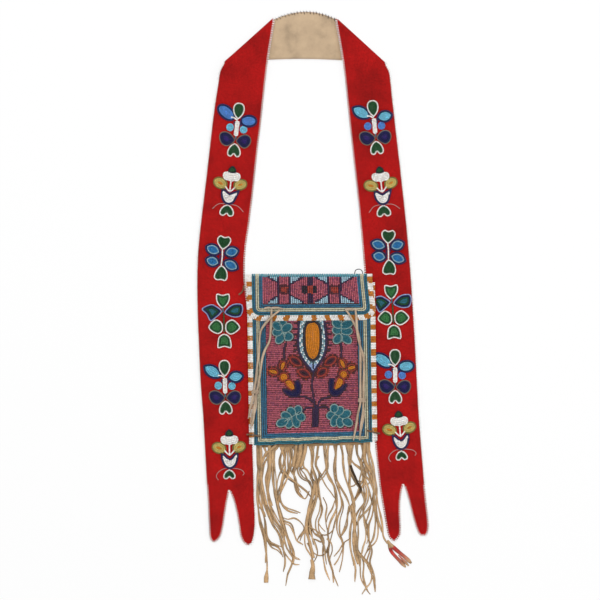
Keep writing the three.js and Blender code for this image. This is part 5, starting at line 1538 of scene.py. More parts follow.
def make_flap(sizes, colours):
    """The flap's hide, its bead field, border lines and wrapped edging."""
    thick = 1000 * sizes.hide_thickness
    runs = np.concatenate([np.linspace(0.4, FLAP_CORNER, 10), np.linspace(FLAP_CORNER, FLAP_RISE, 24)[1:],
                           FLAP_RISE + np.linspace(0, 0.92 * math.pi * TURN_RADIUS, 14)[1:]])
    rows = []
    for run in runs:
        half = flap_half_width(run)
        xs = np.linspace(-half, half, 49)
        spots, unused = flap_spots(np.stack([xs, np.full(49, run)], axis=1), 0.0)
        rows.append([tuple(p) for p in spots])
    ground = thicken(grid_mesh("flap_hide", rows), FLAP_THIN * thick * MM)
    tint_mesh(ground)
    piece = new_piece("flap_hide", ground, shared_material("backing", colours), ["flap"])
    lift = 0.5 * FLAP_THIN * thick + 0.15 + 500 * sizes.bead_diameter
    top = FLAP_RISE + 0.62 * math.pi * (TURN_RADIUS + lift)
    field = Beads(sizes, colours, 160)
    step = 1030 * sizes.bead_length
    random = np.random.default_rng(SEED + 161)
    for x in np.arange(-57.2, 57.6, 1000 * sizes.row_pitch):
        runs = np.arange(14.6 + random.uniform(0, 0.8), top, step)
        spots, ups = flap_spots(np.stack([np.full(len(runs), x), runs], axis=1), lift)
        keys = [flap_figure(a, b) for a, b in spots[:, :2]]
        keys = ["plum" if key == "rose" and random.uniform() < 0.34 else key for key in keys]
        ways = np.stack([np.zeros(len(runs)), ups[:, 2], -ups[:, 1]], axis=1)
        field.add(spots, ways, ups, keys)
    field.piece("flap_rose_rows", "rose_beads", ["flap_field", "flap_pattern"])
    border = Beads(sizes, colours, 170)
    for k, key in enumerate(FLAP_LINES):
        places, ways = even_steps(flap_line(1.1 + 2.2 * k, top), step)
        spots, ups = flap_spots(places, lift)
        heads = np.stack([ways[:, 0], ways[:, 1] * ups[:, 2], -ways[:, 1] * ups[:, 1]], axis=1)
        shown = ["lagoon" if y > 98.6 and key == "blue" else key for y in spots[:, 1]]
        border.add(spots, heads, ups, shown)
    border.piece("flap_border_lines", "blue_beads", ["flap_border"])
    edging = Beads(sizes, colours, 180)

    def spot(at, drop):
        proud = lift + 3.0 * ease((at[:, 1] - FLAP_RISE + 6.0) / 9.0) * (at[:, 0] > 0)
        spots, unused = flap_spots(at, proud)
        inner = np.stack([np.clip(at[:, 0], -POUCH_SIDE, POUCH_SIDE), np.maximum(at[:, 1], 0)], axis=1)
        spots[:, 2] = flap_spots(inner, proud)[0][:, 2] - 0.5 + drop
        return spots

    wrapped_rows(
        edging, lambda out: flap_line(-out, FLAP_RISE + 7.0), spot, FLAP_ROWS, np.array(FLAP_BLOCKS) + 2.0,
    )
    edging.piece("flap_edging_beads", "white_beads", ["flap_edging"])


# Fringe: X of each thong's points and their drop below the pouch's foot, in mm
LEFT_THONGS = [
    [-65, -3, -64, -19, -64, -37, -64, -53, -63, -69, -61, -92, -58, -114, -57, -134, -56, -149, -55, -167],
    [-63, -3, -61, -14, -62, -26, -64, -41, -62, -62, -56, -75, -47, -92, -38, -101, -32, -113, -29, -124,
     -23, -138],
    [-59, -3, -56, -14, -53, -29, -54, -42, -52, -56, -50, -69, -42, -92, -34, -107, -29, -122, -22, -136,
     -14, -139],
    [-41, -3, -49, -12, -57, -19, -61, -29, -62, -50, -59, -65, -54, -77, -45, -96, -37, -110, -35, -124,
     -30, -137, -22, -146, -15, -146],
    [-50, -3, -48, -23, -47, -37, -44, -50, -41, -62, -37, -84, -33, -107, -28, -121, -23, -134, -23, -146,
     -27, -158, -31, -171],
    [-46, -3, -47, -16, -47, -29, -45, -44, -43, -58, -39, -78, -35, -97, -35, -114, -37, -124, -35, -137,
     -34, -146, -35, -154],
    [-35, -2, -38, -10, -40, -21, -34, -35, -25, -42, -15, -48, -7, -56, -1, -65],
    [-31, -2, -30, -13, -31, -22, -31, -32, -36, -44, -39, -57],
    [-24, -2, -22, -11, -22, -23, -25, -32, -21, -40, -18, -52, -10, -64],
    [-18, -2, -16, -13, -18, -23, -23, -33, -23, -43, -20, -55, -16, -63, -8, -67],
    [-13, -1, -12, -11, -14, -22, -16, -32, -11, -40, -1, -45, 2, -56, 0, -71, -4, -89, -3, -106, 1, -122],
    [-8, -1, -8, -10, -12, -21, -12, -29, -7, -35, -3, -43, 1, -52, 1, -68, -2, -85, -5, -100, -13, -111,
     -15, -117],
    [-2, -1, 0, -11, -1, -22, -1, -33, 2, -45, 3, -58, 0, -73, -5, -88, -6, -106, -6, -122, -1, -135,
     1, -146, 1, -161],
    [-64, -3, -63, -32, -63, -52, -62, -77, -58, -95, -55, -112, -49, -119, -43, -121, -37, -127, -34, -136],
    [-37, -2, -34, -15, -34, -28, -38, -41, -40, -56, -37, -71, -29, -79, -21, -82, -14, -84],
    [-28, -2, -27, -14, -28, -27, -32, -41, -38, -59, -38, -77, -34, -92, -26, -97, -22, -107, -19, -117,
     -11, -122],
]
RIGHT_THONGS = [
    [4, 0, 2, -13, 0, -27, 3, -41, 4, -56, 1, -75, -3, -91, -1, -105, 4, -117, 6, -131, 1, -143],
    [9, 0, 7, -14, 4, -26, 7, -37, 5, -49, 4, -63, 1, -77, -1, -93, 5, -107, 11, -112, 14, -122, 15, -135],
    [14, 0, 15, -14, 17, -28, 13, -39, 8, -46, 10, -57, 12, -68, 11, -82, 6, -94, 6, -105, 12, -116,
     13, -131, 17, -146, 22, -164],
    [21, 0, 20, -16, 18, -33, 20, -43, 24, -51, 27, -63, 28, -77, 23, -93, 21, -107, 23, -119, 21, -134,
     23, -151, 25, -167],
    [27, 1, 27, -13, 25, -27, 25, -38, 30, -47, 36, -55, 42, -63, 47, -73, 50, -87, 52, -105, 52, -122,
     52, -135, 56, -146, 59, -161, 64, -171],
    [31, 1, 30, -14, 28, -29, 28, -46, 31, -59, 35, -75, 32, -91, 33, -106, 38, -118, 37, -131, 34, -143,
     32, -154],
    [36, 1, 38, -13, 37, -26, 38, -40, 42, -55, 47, -67, 51, -79, 54, -93, 54, -113, 56, -128, 62, -139,
     68, -149, 69, -164, 65, -172, 60, -181],
    [41, 1, 43, -15, 48, -25, 54, -29, 60, -33, 62, -43, 59, -53, 55, -65, 49, -75, 43, -85, 40, -98,
     35, -110],
    [45, 2, 46, -10, 46, -21, 48, -33, 53, -44, 58, -55, 55, -61, 51, -68],
    [49, 2, 47, -9, 44, -22, 43, -37, 43, -51, 48, -64, 52, -77, 50, -93, 47, -110, 46, -130, 49, -145,
     51, -166],
    [54, 2, 56, -13, 60, -22, 62, -33, 59, -44, 60, -57, 62, -69, 57, -79, 53, -91, 54, -109, 55, -125,
     60, -142, 59, -160, 65, -175, 70, -181],
    [59, 2, 62, -9, 65, -21, 67, -33, 65, -46, 67, -55, 65, -67, 60, -80, 61, -91, 65, -104, 66, -116,
     62, -129, 59, -137],
    [64, 3, 63, -10, 60, -25, 61, -37, 67, -45, 71, -56, 73, -68, 75, -82, 77, -100, 75, -116, 69, -124,
     64, -134, 63, -142],
    [66, 3, 66, -13, 68, -28, 71, -41, 73, -56, 72, -70, 70, -85, 67, -98, 69, -112, 72, -128, 68, -142,
     71, -154, 73, -164, 75, -178],
    [67, 3, 69, -10, 71, -23, 73, -38, 73, -52, 72, -64, 66, -77, 58, -88, 53, -101, 51, -116],
    [68, 3, 70, -14, 72, -31, 74, -45, 76, -58, 77, -74, 80, -87, 83, -98, 86, -111, 91, -120],
]
# Wide flat strips: route and widths at their two ends
TABS = [
    ([-18.7, -1.4, -20.7, -15, -22.6, -28.1], 4.0, 3.4),
    ([-13.3, -1.4, -14.8, -15, -18.7, -29.6], 5.4, 4.2),
    ([-7.3, -1.4, -9.6, -15, -14, -28.7], 5.0, 3.6),
    ([-51.3, -1.4, -50, -22.8, -51.3, -39.8, -53.2, -56.7, -48.4, -74.9], 4.8, 3.4),
    ([-61.9, -1.4, -60.4, -22.8, -61, -39.8, -58.4, -56.7, -54.4, -73.6], 3.8, 3.0),
    ([-43.5, -1.4, -47.4, -5.9, -55.2, -11.8, -59.7, -22.8], 3.6, 3.0),
    ([48.4, -73.6, 51.3, -95.7, 50, -113.9, 51.6, -130.9, 55.7, -144.5], 4.6, 3.6),
    ([3.4, -45, 2.4, -56.7, -1.5, -69.7, -4.9, -85.3, -6.7, -100.9, -1.8, -121.8, 2.1, -137.4], 4.4, 3.4),
    ([63.3, -1.4, 62, -13.7, 65.9, -25.4, 71.7, -35.9], 4.4, 3.2),
    ([-0.5, -138.7, 1.1, -146.5, 0, -155.6, -0.2, -162.8], 3.4, 8.6),
]
# Loose strands that cross between the thongs
LOOSE_STRANDS = [
    [-1.8, -3.3, -0.2, -26.7, -1.2, -38.5, 3.4, -46.3, 4.7, -56.7, 0, -67.1, -1.5, -82.7, -3.1, -99.6],
    [13.8, -3.3, 16.4, -25.4, 19.3, -35.9, 24.2, -45, 27.1, -56.7, 28.4, -69.7, 29.7, -82.7,
     26.8, -97, 24, -108.7, 20.3, -121.8, 15.9, -132.2],
    [10.6, -38.5, 16.4, -50.2, 22.7, -58.6, 27.1, -65.1],
    [7.3, -61.9, 10.2, -69.7, 12.8, -78.2, 10.2, -87.3, 7.6, -93.8, 10.4, -99.6, 15.8, -105.5],
    [13.3, -64.5, 17.7, -74.9, 16.2, -87.9, 17.2, -98.3, 19.3, -106.8],
    [27.4, -68.4, 24.2, -78.2, 19.3, -86.6, 17.2, -94.4],
    [44.3, -74.9, 41.7, -90.5, 38.5, -101.6, 34.6, -112],
    [-4.4, -99, 4.7, -104.2, 12.5, -109.4, 17.7, -109.4, 23.6, -105.5, 27.1, -99.6],
    [-21.8, -45, -18.7, -58, -13.5, -63.8, -8.3, -66.1, -3.1, -56.7],
    [-13.5, -30.7, -8.3, -29.6, -3.1, -35.9, -1.8, -43],
    [-65.6, -67.1, -63.5, -76.2, -58.5, -80.8, -55.7, -87.9],
    [-55.7, -108.7, -52.3, -116.6, -44.8, -120.7, -36.9, -123.7],
    [-54.6, -113.9, -48.7, -124.1, -40.8, -128.5, -36.4, -133.5],
    [-5.7, -119.2, 1.6, -130.6, 7.8, -134.3, 13.8, -133.5, 18.5, -129.6],
    [45.8, -113.9, 38, -119.2, 32.3, -128.3, 26.3, -135.4],
    [26.6, -145.8, 31.4, -138.7, 35.9, -128.3, 38.8, -119.2],
    [-37.2, -71, -32.8, -76.5, -28.4, -79.9],
    [-36.9, -87.9, -29.1, -90.8, -21.3, -89.5, -13.5, -94.4, -9.6, -101.6, -15.5, -112, -17.4, -115.5],
    [-0.5, -113.9, 4.7, -115.3, 11, -117.9, 10.2, -112, 3.4, -107.4],
    [17.7, -113.9, 22.9, -119.2, 24.2, -128.3, 21.1, -140, 25.8, -156.9, 31.4, -171.2],
    [46.4, -51.5, 50.5, -50.4, 55.5, -45, 67.2, -48.9, 70.4, -38.5],
    [8.6, -15, 4.7, -22.8, 7.3, -30.7, 12, -38.5],
]
# The red tip's strands and their widths. The paint starts this far down the first two, fades over
# a run from the end, and leaves the end bare
RED_STRANDS = [
    [90.4, -116, 92.8, -122.4, 95.2, -129.4, 100.2, -135.6, 106.3, -141.8, 112.5, -148.5],
    [91, -116, 94.6, -121.4, 98.6, -125.4, 105.1, -130.9, 112.5, -137.1, 119.2, -143.6],
    [103.6, -133.6, 109.6, -140, 116.1, -146.7],
]
RED_WIDTHS = (4.3, 4.8, 3.4)
PAINT_STARTS, PAINT_FADES, BARE_TIP = (9.0, 9.0, 0.0), 25.0, 2.0
DARK_STRAND = [46, -26, 48.2, -32, 50.8, -38, 54.6, -46.4, 58.8, -56, 55.8, -60, 51.6, -65]
# Thongs, by number, that end in a wide tab
TABBED = (0, 12)
STEP = 1.5
RIBBON_SIDES = 8
# The strip that the thongs hang from, behind the pouch's foot: its half width, Y and Z
HEAD_SIDE, HEAD_Y, HEAD_Z = 67.0, (-105.0, -93.0), (1.3, 2.5)
HEAD_FACES = [(0, 2, 3, 1), (4, 5, 7, 6), (0, 1, 5, 4), (1, 3, 7, 5), (3, 2, 6, 7), (2, 0, 4, 6)]


def thong(points, width, twist, level, thick):
    """One flat thong along points of the floor plan: its body, in mm."""
    run = np.arange(len(points)) * STEP
    stand = 0.5 * (thick * np.abs(np.cos(twist)) + width * np.abs(np.sin(twist)))
    z = np.maximum(level + stand, 1.9 * (run < 6))
    z = np.convolve(np.pad(z, 3, mode="edge"), np.ones(7) / 7, mode="valid")
    flat = np.clip(1.15 * thick / width, 0, 1)
    return tube(np.column_stack([points, z]), width, RIBBON_SIDES, flat, twist)


def thong_shade(colour, brightness):
    """Tints of a thong: a colour times a brightness at each ring, darker at its two edges, where the
    darkening is painted shade.
    """
    angles = np.linspace(0, 2 * math.pi, RIBBON_SIDES, endpoint=False)
    # Painted shade: each ring is darker towards the thong's two edges
    edge = 1 - 0.36 * np.abs(np.cos(angles)) ** 3
    values = np.asarray(colour)[None, None] * np.asarray(brightness)[:, None, None] * edge[None, :, None]
    values = np.clip(values, 0, 2.4).reshape(-1, 3)
    return np.column_stack([values, np.ones(len(values))])


def make_fringe(sizes, colours):
    """Hide thongs in pairs that twist, cross and taper, with flat strips, loose strands, a dark strand
    and a red tip."""
    random = np.random.default_rng(SEED + 200)
    wide, thick = 1000 * sizes.thong_width, 750 * sizes.hide_thickness
    parts, shades = [], []

    def hang(points, width, twist, level, colour, brightness):
        parts.append(thong(points, width, twist, level, thick))
        shades.append(thong_shade(colour, brightness))

    def route_points(route, root=True):
        flat = np.array(route, float).reshape(-1, 2) - [0, POUCH_TOP]
        return rounded_path(np.concatenate([[flat[0] + [0.0, 4.5]], flat]) if root else flat, STEP)[0]

    for number, route in enumerate(LEFT_THONGS + RIGHT_THONGS):
        middle = route_points(route)
        ways = np.gradient(middle, axis=0)
        beside = unit(np.stack([-ways[:, 1], ways[:, 0]], axis=1))
        for copy in range(2):
            waves = random.uniform(0, 6.28, 4)
            count = len(middle) if not copy else int(len(middle) * random.uniform(0.8, 1.0))
            run = np.arange(count) * STEP
            left = run[-1] - run
            spread = np.clip(0.45 + run / 45, 0, 1.0) * np.clip(0.3 + left / 20, 0, 1)
            offset = 2.5 * np.sin(run / (17 + 3 * copy) + waves[3] + 2.4 * copy) * spread
            points = middle[:count] + beside[:count] * offset[:, None]
            twist = 0.95 * np.sin(run / random.uniform(8, 14) + waves[0])
            twist *= np.sin(run / random.uniform(17, 30) + waves[1]) * np.clip((run - 6) / 18, 0, 1)
            width = wide * random.uniform(0.84, 1.16) * (1 + 0.16 * np.sin(run / 6.0 + waves[2]))
            width = (width + 1.9 * np.clip(1 - run / 14, 0, 1)) * np.clip(0.5 + left / 14, 0, 1)
            if number in TABBED and not copy:
                width = width + 4.6 * np.clip(1 - left / 14, 0, 1) ** 0.7
            level = 0.3 + 1.0 * ((2 * number + copy) * 3 % 4) * np.clip((run - 3) / 14, 0, 1)
            brightness = random.uniform(0.78, 1.12) * (1 + 0.12 * np.sin(run / 11 + waves[1]))
            warmth = random.uniform(-0.05, 0.05)
            hang(points, width, twist, level, [1 + warmth, 1.0, 1 - 1.3 * warmth], brightness)
    for number, (route, first, last) in enumerate(TABS):
        points = route_points(route, root=route[1] > -5)
        place = np.arange(len(points))
        width = np.linspace(first, last, len(points)) * (1 + 0.06 * np.sin(place * 0.9))
        brightness = 0.98 + 0.1 * np.sin(place * 0.5 + 2 * number)
        twist = 0.3 * np.sin(place * 0.3 + number)
        hang(points, width, twist, 3.2 + 0.3 * (number % 3), [1.0, 0.98, 0.95], brightness)
    for number, route in enumerate(LOOSE_STRANDS):
        points = route_points(route, root=route[1] > -5)
        run = np.arange(len(points)) * STEP
        width = 0.86 * wide * (1 + 0.16 * np.sin(run / 5 + number))
        width *= np.clip(0.6 + (run[-1] - run) / 12, 0, 1)
        brightness = 0.86 + 0.14 * np.sin(run / 8 + 3 * number)
        twist = 0.8 * np.sin(run / 9 + number)
        hang(points, width, twist, 0.8 + 0.8 * (number % 4), [1.0, 0.99, 0.97], brightness)
    points = route_points(DARK_STRAND, root=False)
    way = np.linspace(0, 1, len(points))
    brightness = 0.1 + 0.5 * np.clip(5 * way - 3.6, 0, 1)
    hang(points, 3.3 - 1.2 * way, 0.3 * np.sin(9 * way), 4.6, [1.0, 0.86, 0.72], brightness)
    paint = linear(colours.red_paint) / linear(colours.buckskin)
    for number, (route, broad, starts) in enumerate(zip(RED_STRANDS, RED_WIDTHS, PAINT_STARTS)):
        points = route_points(route, root=False)
        left = (len(points) - 1 - np.arange(len(points))) * STEP
        run = left[0] - left
        width = broad * np.clip(0.45 + left / 9, 0, 1) * (1 + 0.08 * np.sin(left / 4 + number))
        width *= np.clip(0.4 + run / 16, 0, 1)
        brightness = 1 + 0.12 * np.sin(left / 3 + number)
        hang(points, width, 0.2 * np.sin(left / 7), 0.4 + 0.9 * number, [1.0, 1.0, 1.0], brightness)
        share = np.clip((left - BARE_TIP) / (PAINT_FADES - BARE_TIP), 0, 1)
        share *= np.clip((run - starts) / 2, 0, 1)
        shades[-1][:, :3] *= paint ** np.repeat(share ** 1.2, RIBBON_SIDES)[:, None]
    head = np.array([(x, y, z) for z in HEAD_Z for y in HEAD_Y for x in (-HEAD_SIDE, HEAD_SIDE)])
    head = np.stack([*lay(head[:, 0], head[:, 1]), head[:, 2]], axis=1)
    parts.append((head, HEAD_FACES))
    shades.append(np.tile([0.8, 0.76, 0.7, 1.0], (8, 1)))
    mesh = join_parts("fringe_thongs", parts, shades)
    piece = new_piece("fringe_thongs", mesh, shared_material("buckskin", colours), ["fringe"])


# Ties: X, the way up from the flap's foot in mm, and what a point lies on where it isn't the front
TIES = {
    "left_inner": [
        (-48.5, 7, "flap"), (-48.5, 2, "flap"), (-48.8, -6, "edge"), (-49.2, -14), (-49.8, -22), (-51, -31),
        (-56.5, -42), (-59.6, -52), (-61.6, -66), (-63.4, -78), (-65.6, -89, "knot"), (-66.8, -95, "knot"),
        (-68.4, -106), (-70, -121), (-71.5, -133),
    ],
    "left_outer": [
        (-38.4, 6, "flap"), (-43, 2.5, "over"), (-48.6, -2, "over"), (-55, -9, "cross"), (-60.5, -17),
        (-62.6, -26), (-63.2, -36), (-63.8, -47), (-66, -63), (-67.4, -78), (-69.2, -89, "knot"),
        (-70.4, -95, "knot"), (-73, -106), (-74.5, -114), (-75.5, -120),
    ],
    "right_inner": [
        (40.8, 6, "flap"), (44.5, 1, "flap"), (48.2, -6, "edge"), (52, -13), (55, -21), (57.2, -32),
        (57.8, -44), (58, -56), (58, -70), (58, -86), (58, -98, "knot"), (57.8, -106, "knot"), (55, -118),
        (53.2, -130), (51, -142), (49.6, -150),
    ],
    "right_outer": [
        (52, 6, "flap"), (52.6, 1, "flap"), (53.2, -6, "edge"), (53.9, -17, "cross"), (55.4, -29, "cross"),
        (58.6, -40, "cross"), (61.6, -50), (62.2, -62), (61.9, -76), (61.6, -86), (61.6, -98, "knot"),
        (61.4, -106, "knot"), (60.8, -118), (58.6, -133), (57, -150),
    ],
}
TIE_STEP = 1.4
TIE_SIDES = 10
# Middle of each wrap and its lean in degrees
KNOTS = {"left": (-68.0, -40.0, -11.0), "right": (59.7, -50.0, -1.0)}
# Loops of the ties through the flap, and frayed strands under the wraps, by X and Y
TIE_ENDS = {
    "left": [
        [(-57.0, 60.0, "flap"), (-52.0, 61.2, "flap"), (-47.0, 60.2, "flap")],
        [(-48.0, 60.6, "flap"), (-41.0, 61.0, "flap"), (-34.6, 59.4, "flap")],
        [(-67.4, -44.0), (-69.4, -56.0), (-72.4, -68.0), (-73.6, -78.0)],
        [(-68.4, -44.0), (-72.0, -55.0), (-74.6, -63.0), (-76.6, -72.0)],
        [(-66.4, -44.0), (-67.0, -58.0), (-70.0, -70.0), (-74.0, -84.0)],
    ],
    "right": [
        [(39.4, 58.6, "flap"), (44.0, 59.6, "flap"), (50.0, 59.0, "flap"), (54.8, 58.4, "flap")],
        [(61.0, -54.0), (62.6, -66.0), (60.4, -78.0), (58.0, -92.0)],
    ],
}
SMALL_TIES = {
    "corner_left": [
        (-78.0, -91.0, 3.9), (-76.2, -91.0, 8.6), (-71.0, -91.5, 9.6), (-66.0, -92.5, 9.9),
        (-61.6, -93.0, 10.0),
    ],
    "corner_right": [
        (65.6, -86.0, 10.1), (70.0, -87.0, 9.7), (75.0, -88.5, 8.8), (79.0, -89.5, 6.0), (81.0, -90.0, 3.9),
    ],
    "upper_left": [(-88.0, 76.5, 3.8), (-84.5, 79.3, 4.1), (-82.2, 83.2, 4.1), (-82.0, 87.5, 3.8)],
}
THREAD_LOOP = [
    (51.0, 101.6, 7.0), (52.2, 105.6, 6.2), (55.9, 107.2, 5.6), (59.6, 105.6, 6.2), (60.8, 101.6, 7.0),
]


def tie_height(x, y, level="front"):
    """Height of a tie's middle over what it lies on."""
    over_beads = float(front_level(x, y)) + BACKING + 2.2
    return {
        "flap": 14.9, "over": 17.6, "edge": 14.0, "front": over_beads + 1.6, "cross": over_beads + 4.2,
        "knot": over_beads + 2.6,
    }[level]


def make_wrap(side, pale):
    """Three turns of hide round a pair of ties, with the loops and strands at its side of the flap."""
    x, y, lean = KNOTS[side]
    tilt, height = math.radians(lean), float(front_level(x, y)) + BACKING + 4.8
    turn = np.linspace(0, 2 * math.pi, 33)[:-1]
    parts = []
    for k in range(3):
        ring = np.stack([3.9 * np.cos(turn), (k - 1) * 1.5 + 0.5 * np.sin(turn), 1.9 * np.sin(turn)], axis=1)
        parts.append(closed_ring(np.stack([
            ring[:, 0] * math.cos(tilt) - ring[:, 1] * math.sin(tilt) + x,
            ring[:, 0] * math.sin(tilt) + ring[:, 1] * math.cos(tilt) + y, ring[:, 2] + height,
        ], axis=1), 1.5))
    for route in TIE_ENDS[side]:
        strand = rounded_path([(a, b, tie_height(a, b, *level)) for a, b, *level in route], TIE_STEP)[0]
        taper = np.clip(0.55 + 0.06 * np.arange(len(strand))[::-1], 0, 1)
        parts.append(tube(strand, (2.6 if "flap" in route[0] else 1.7) * taper, 8, 0.7))
    name = f"tie_wrap_{side}"
    return new_piece(name, join_parts(name, parts), pale, [f"tie_knot_{side}"])


def make_ties(sizes, colours):
    """The four hide ties of the flap, their wraps, the small ties and the thread loop."""
    pale = shared_material("pale_hide", colours)
    random = np.random.default_rng(SEED + 300)
    wraps = {side: make_wrap(side, pale) for side in KNOTS}
    # Painted shade: each tie is darker towards its two edges
    rim = 1 - 0.3 * np.abs(np.cos(np.linspace(0, 2 * math.pi, TIE_SIDES, endpoint=False))) ** 3
    for name, route in TIES.items():
        points = [(x, FLAP_FOOT + up, tie_height(x, FLAP_FOOT + up, *level)) for x, up, *level in route]
        line = rounded_path(points, TIE_STEP)[0]
        run = np.arange(len(line)) * TIE_STEP
        width = 1000 * sizes.tie_width * (1 + 0.12 * np.sin(run / 6 + random.uniform(0, 6)))
        width = width * np.clip(0.62 + (run[-1] - run) / 26, 0, 1)
        twist = 0.5 * np.sin(run / 15 + random.uniform(0, 6))
        body = tube(line, width, TIE_SIDES, 0.74, twist)
        shade = np.outer(1.0 + 0.1 * np.sin(run / 9 + random.uniform(0, 6)), rim).ravel()
        colour = np.stack([shade, 0.98 * shade, 0.95 * shade, np.ones(len(shade))], axis=1)
        mesh = join_parts("tie_hide_" + name, [body], [colour])
        piece = new_piece("tie_hide_" + name, mesh, pale, ["tie_" + name])
        float(line_length(line) * MM)
    dark = shared_material("dark_hide", colours)
    for name, points in SMALL_TIES.items():
        line = rounded_path(points, 1.0)[0]
        body = tube(line, 1.9, TIE_SIDES, 0.75, 0.4 * np.sin(np.arange(len(line)) / 5))
        mesh = join_parts("small_tie_" + name, [body])
        new_piece("small_tie_" + name, mesh, dark, ["tie_" + name])
    mesh = join_parts("thread_loop_cord", [tube(rounded_path(THREAD_LOOP, 0.7)[0], 1.0)])
    new_piece("thread_loop_cord", mesh, shared_material("loop", colours), ["thread_loop"])


def closed_ring(points, diameter, sides=10):
    """A round cord along a closed line of points."""
    ways = unit(np.roll(points, -1, axis=0) - np.roll(points, 1, axis=0))
    out = points - points.mean(axis=0)
    out = unit(out - ways * (out * ways).sum(axis=1, keepdims=True))
    lift = np.cross(ways, out)
    angles = np.linspace(0, 2 * math.pi, sides, endpoint=False)[:, None]
    verts = points[:, None] + diameter / 2 * (out[:, None] * np.cos(angles) + lift[:, None] * np.sin(angles))
    faces = []
    for i in range(len(points)):
        here, there = i * sides, (i + 1) % len(points) * sides
        for k in range(sides):
            after = (k + 1) % sides
            faces.append((there + k, there + after, here + after, here + k))
    return verts.reshape(-1, 3), faces


# Stage
VIEW_MIDDLE = (-0.0144, 0.0702)
VIEW_HEIGHT = 6.0
VIEW_WIDTH = 0.72
SENSOR = 36.0
FLOOR_REACH, FLOOR_Z = 2.5, -0.0003
# Name, place, size and power of each light, and the point that they face
LIGHTS = (("key_light", (-0.2, 1.0, 2.1), 1.2, 24.5), ("fill_light", (1.4, -0.6, 1.8), 1.6, 13.0))
LIT_POINT = (0, 0.07, 0)
SKY_STRENGTH = 0.62
# How much of the floor that the camera sees is plain white, not lit paper
FLOOR_WHITE = 0.82


def floor_material():
    """White paper: seen by the camera as lit from behind, so that it stays white but keeps the shadow."""
    finish = Finish("white_paper", Roughness=0.9, Specular_IOR_Level=0.0, Base_Color=(0.86, 0.86, 0.86, 1.0))
    finish.bump(finish.noise(300.0, 3.0), 0.05, 0.0002)
    glow = finish.add("Emission", Color=(1.0, 1.0, 1.0, 1.0), Strength=1.0)
    share = finish.add("Math", operation="MULTIPLY")
    share.inputs[1].default_value = FLOOR_WHITE
    blend = finish.add("MixShader")
    for start, end in (
        (finish.add("LightPath").outputs["Is Camera Ray"], share.inputs[0]),
        (share.outputs[0], blend.inputs[0]), (finish.shader.outputs[0], blend.inputs[1]),
        (glow.outputs[0], blend.inputs[2]),
        (blend.outputs[0], finish.nodes["Material Output"].inputs["Surface"]),
    ):
        finish.links.new(start, end)
    return finish.material


def make_stage():
    """The floor, the lights, the pale surroundings and the camera over the bag."""
    scene = bpy.context.scene

    def placed(name, data, location=(0, 0, 0)):
        made = bpy.data.objects.new(name, data)
        made.location = location
        scene.collection.objects.link(made)
        return made

    mesh = bpy.data.meshes.new("floor")
    corners = [(x * FLOOR_REACH, y * FLOOR_REACH, FLOOR_Z) for x, y in ((-1, -1), (1, -1), (1, 1), (-1, 1))]
    mesh.from_pydata(corners, [], [(0, 1, 2, 3)])
    mesh.update()
    mesh.materials.append(floor_material())
    floor = placed("floor", mesh)
    for name, place, size, power in LIGHTS:
        light = bpy.data.lights.new(name, "AREA")
        light.energy = power
        light.size = size
        facing = Vector(LIT_POINT) - Vector(place)
        placed(name, light, place).rotation_euler = facing.to_track_quat("-Z", "Y").to_euler()
    scene.world = bpy.data.worlds.new("studio")
    scene.world.use_nodes = True
    sky = scene.world.node_tree.nodes["Background"]
    sky.inputs["Color"].default_value = (1.0, 1.0, 1.0, 1.0)
    sky.inputs["Strength"].default_value = SKY_STRENGTH
    lens = bpy.data.cameras.new("camera")
    lens.sensor_width = SENSOR
    lens.lens = SENSOR * VIEW_HEIGHT / VIEW_WIDTH
    lens.clip_end = 30.0
    scene.camera = placed("camera", lens, (*VIEW_MIDDLE, VIEW_HEIGHT))
    scene.view_settings.view_transform = "Standard"


def settings(context):
    """The scene's sizes and colours of the bag."""
    return context.scene.bag_sizes, context.scene.bag_colours


# Operators
class BAG_OT_strap(bpy.types.Operator):
    """Make the strap's wool, its cotton lining and the neck's stitches"""
    bl_idname = "bag.strap"
    bl_label = "Strap"
    bl_options = {"REGISTER", "UNDO"}

    def execute(self, context):
        make_strap(*settings(context))
        return {"FINISHED"}


class BAG_OT_strap_edge(bpy.types.Operator):
    """Make the white beads along the strap's edges"""
    bl_idname = "bag.strap_edge"
    bl_label = "Strap edge beads"
    bl_options = {"REGISTER", "UNDO"}

    def execute(self, context):
        make_strap_edge(*settings(context))
        return {"FINISHED"}


class BAG_OT_strap_flowers(bpy.types.Operator):
    """Make the bead flowers on the strap's legs"""
    bl_idname = "bag.strap_flowers"
    bl_label = "Strap flowers"
    bl_options = {"REGISTER", "UNDO"}

    def execute(self, context):
        make_flowers(*settings(context))
        return {"FINISHED"}


class BAG_OT_pouch(bpy.types.Operator):
    """Make the pouch's hide panels"""
    bl_idname = "bag.pouch"
    bl_label = "Pouch"
    bl_options = {"REGISTER", "UNDO"}

    def execute(self, context):
        make_pouch(*settings(context))
        return {"FINISHED"}


class BAG_OT_pouch_beads(bpy.types.Operator):
    """Make the pouch's bead rows, plant, border and edgings"""
    bl_idname = "bag.pouch_beads"
    bl_label = "Pouch beads"
    bl_options = {"REGISTER", "UNDO"}

    def execute(self, context):
        make_pouch_beads(*settings(context))
        return {"FINISHED"}


class BAG_OT_flap(bpy.types.Operator):
    """Make the flap's hide and its beads"""
    bl_idname = "bag.flap"
    bl_label = "Flap"
    bl_options = {"REGISTER", "UNDO"}

    def execute(self, context):
        make_flap(*settings(context))
        return {"FINISHED"}


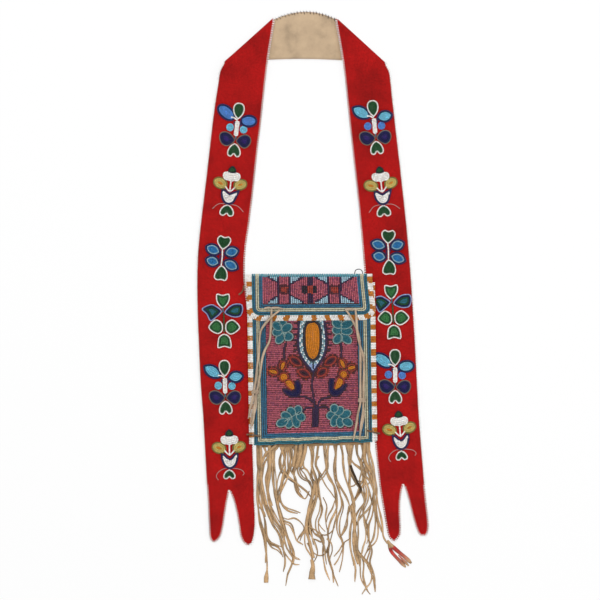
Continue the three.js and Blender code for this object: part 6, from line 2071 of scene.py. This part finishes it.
class BAG_OT_fringe(bpy.types.Operator):
    """Make the fringe of hide thongs"""
    bl_idname = "bag.fringe"
    bl_label = "Fringe"
    bl_options = {"REGISTER", "UNDO"}

    def execute(self, context):
        make_fringe(*settings(context))
        return {"FINISHED"}


class BAG_OT_ties(bpy.types.Operator):
    """Make the hide ties, their wraps and the thread loop"""
    bl_idname = "bag.ties"
    bl_label = "Ties"
    bl_options = {"REGISTER", "UNDO"}

    def execute(self, context):
        make_ties(*settings(context))
        return {"FINISHED"}


class BAG_OT_stage(bpy.types.Operator):
    """Make the floor, the lights and the camera"""
    bl_idname = "bag.stage"
    bl_label = "Stage"
    bl_options = {"REGISTER", "UNDO"}

    def execute(self, context):
        make_stage()
        return {"FINISHED"}


STEPS = (
    BAG_OT_stage, BAG_OT_ties, BAG_OT_strap, BAG_OT_strap_edge, BAG_OT_strap_flowers, BAG_OT_pouch,
    BAG_OT_pouch_beads, BAG_OT_flap, BAG_OT_fringe,
)


class BAG_PT_panel(bpy.types.Panel):
    """Steps, sizes and colours of the bag"""
    bl_idname = "BAG_PT_panel"
    bl_label = "Bandolier bag"
    bl_space_type = "VIEW_3D"
    bl_region_type = "UI"
    bl_category = "Bag"

    def draw(self, context):
        for step in STEPS:
            self.layout.operator(step.bl_idname)
        for group in settings(context):
            box = self.layout.box()
            for name in group.__annotations__:
                box.prop(group, name)


CLASSES = (BagSizes, BagColours, *STEPS, BAG_PT_panel)


def register():
    for item in CLASSES:
        bpy.utils.register_class(item)
    bpy.types.Scene.bag_sizes = PointerProperty(type=BagSizes)
    bpy.types.Scene.bag_colours = PointerProperty(type=BagColours)


def unregister():
    del bpy.types.Scene.bag_colours
    del bpy.types.Scene.bag_sizes
    for item in reversed(CLASSES):
        bpy.utils.unregister_class(item)


def main():
    """Makes the stage and every piece in order."""
    register()
    bpy.ops.bag.stage()
    bpy.ops.bag.ties()
    bpy.ops.bag.strap()
    bpy.ops.bag.strap_edge()
    bpy.ops.bag.strap_flowers()
    bpy.ops.bag.pouch()
    bpy.ops.bag.pouch_beads()
    bpy.ops.bag.flap()
    bpy.ops.bag.fringe()


if __name__ == "__main__":
    main()
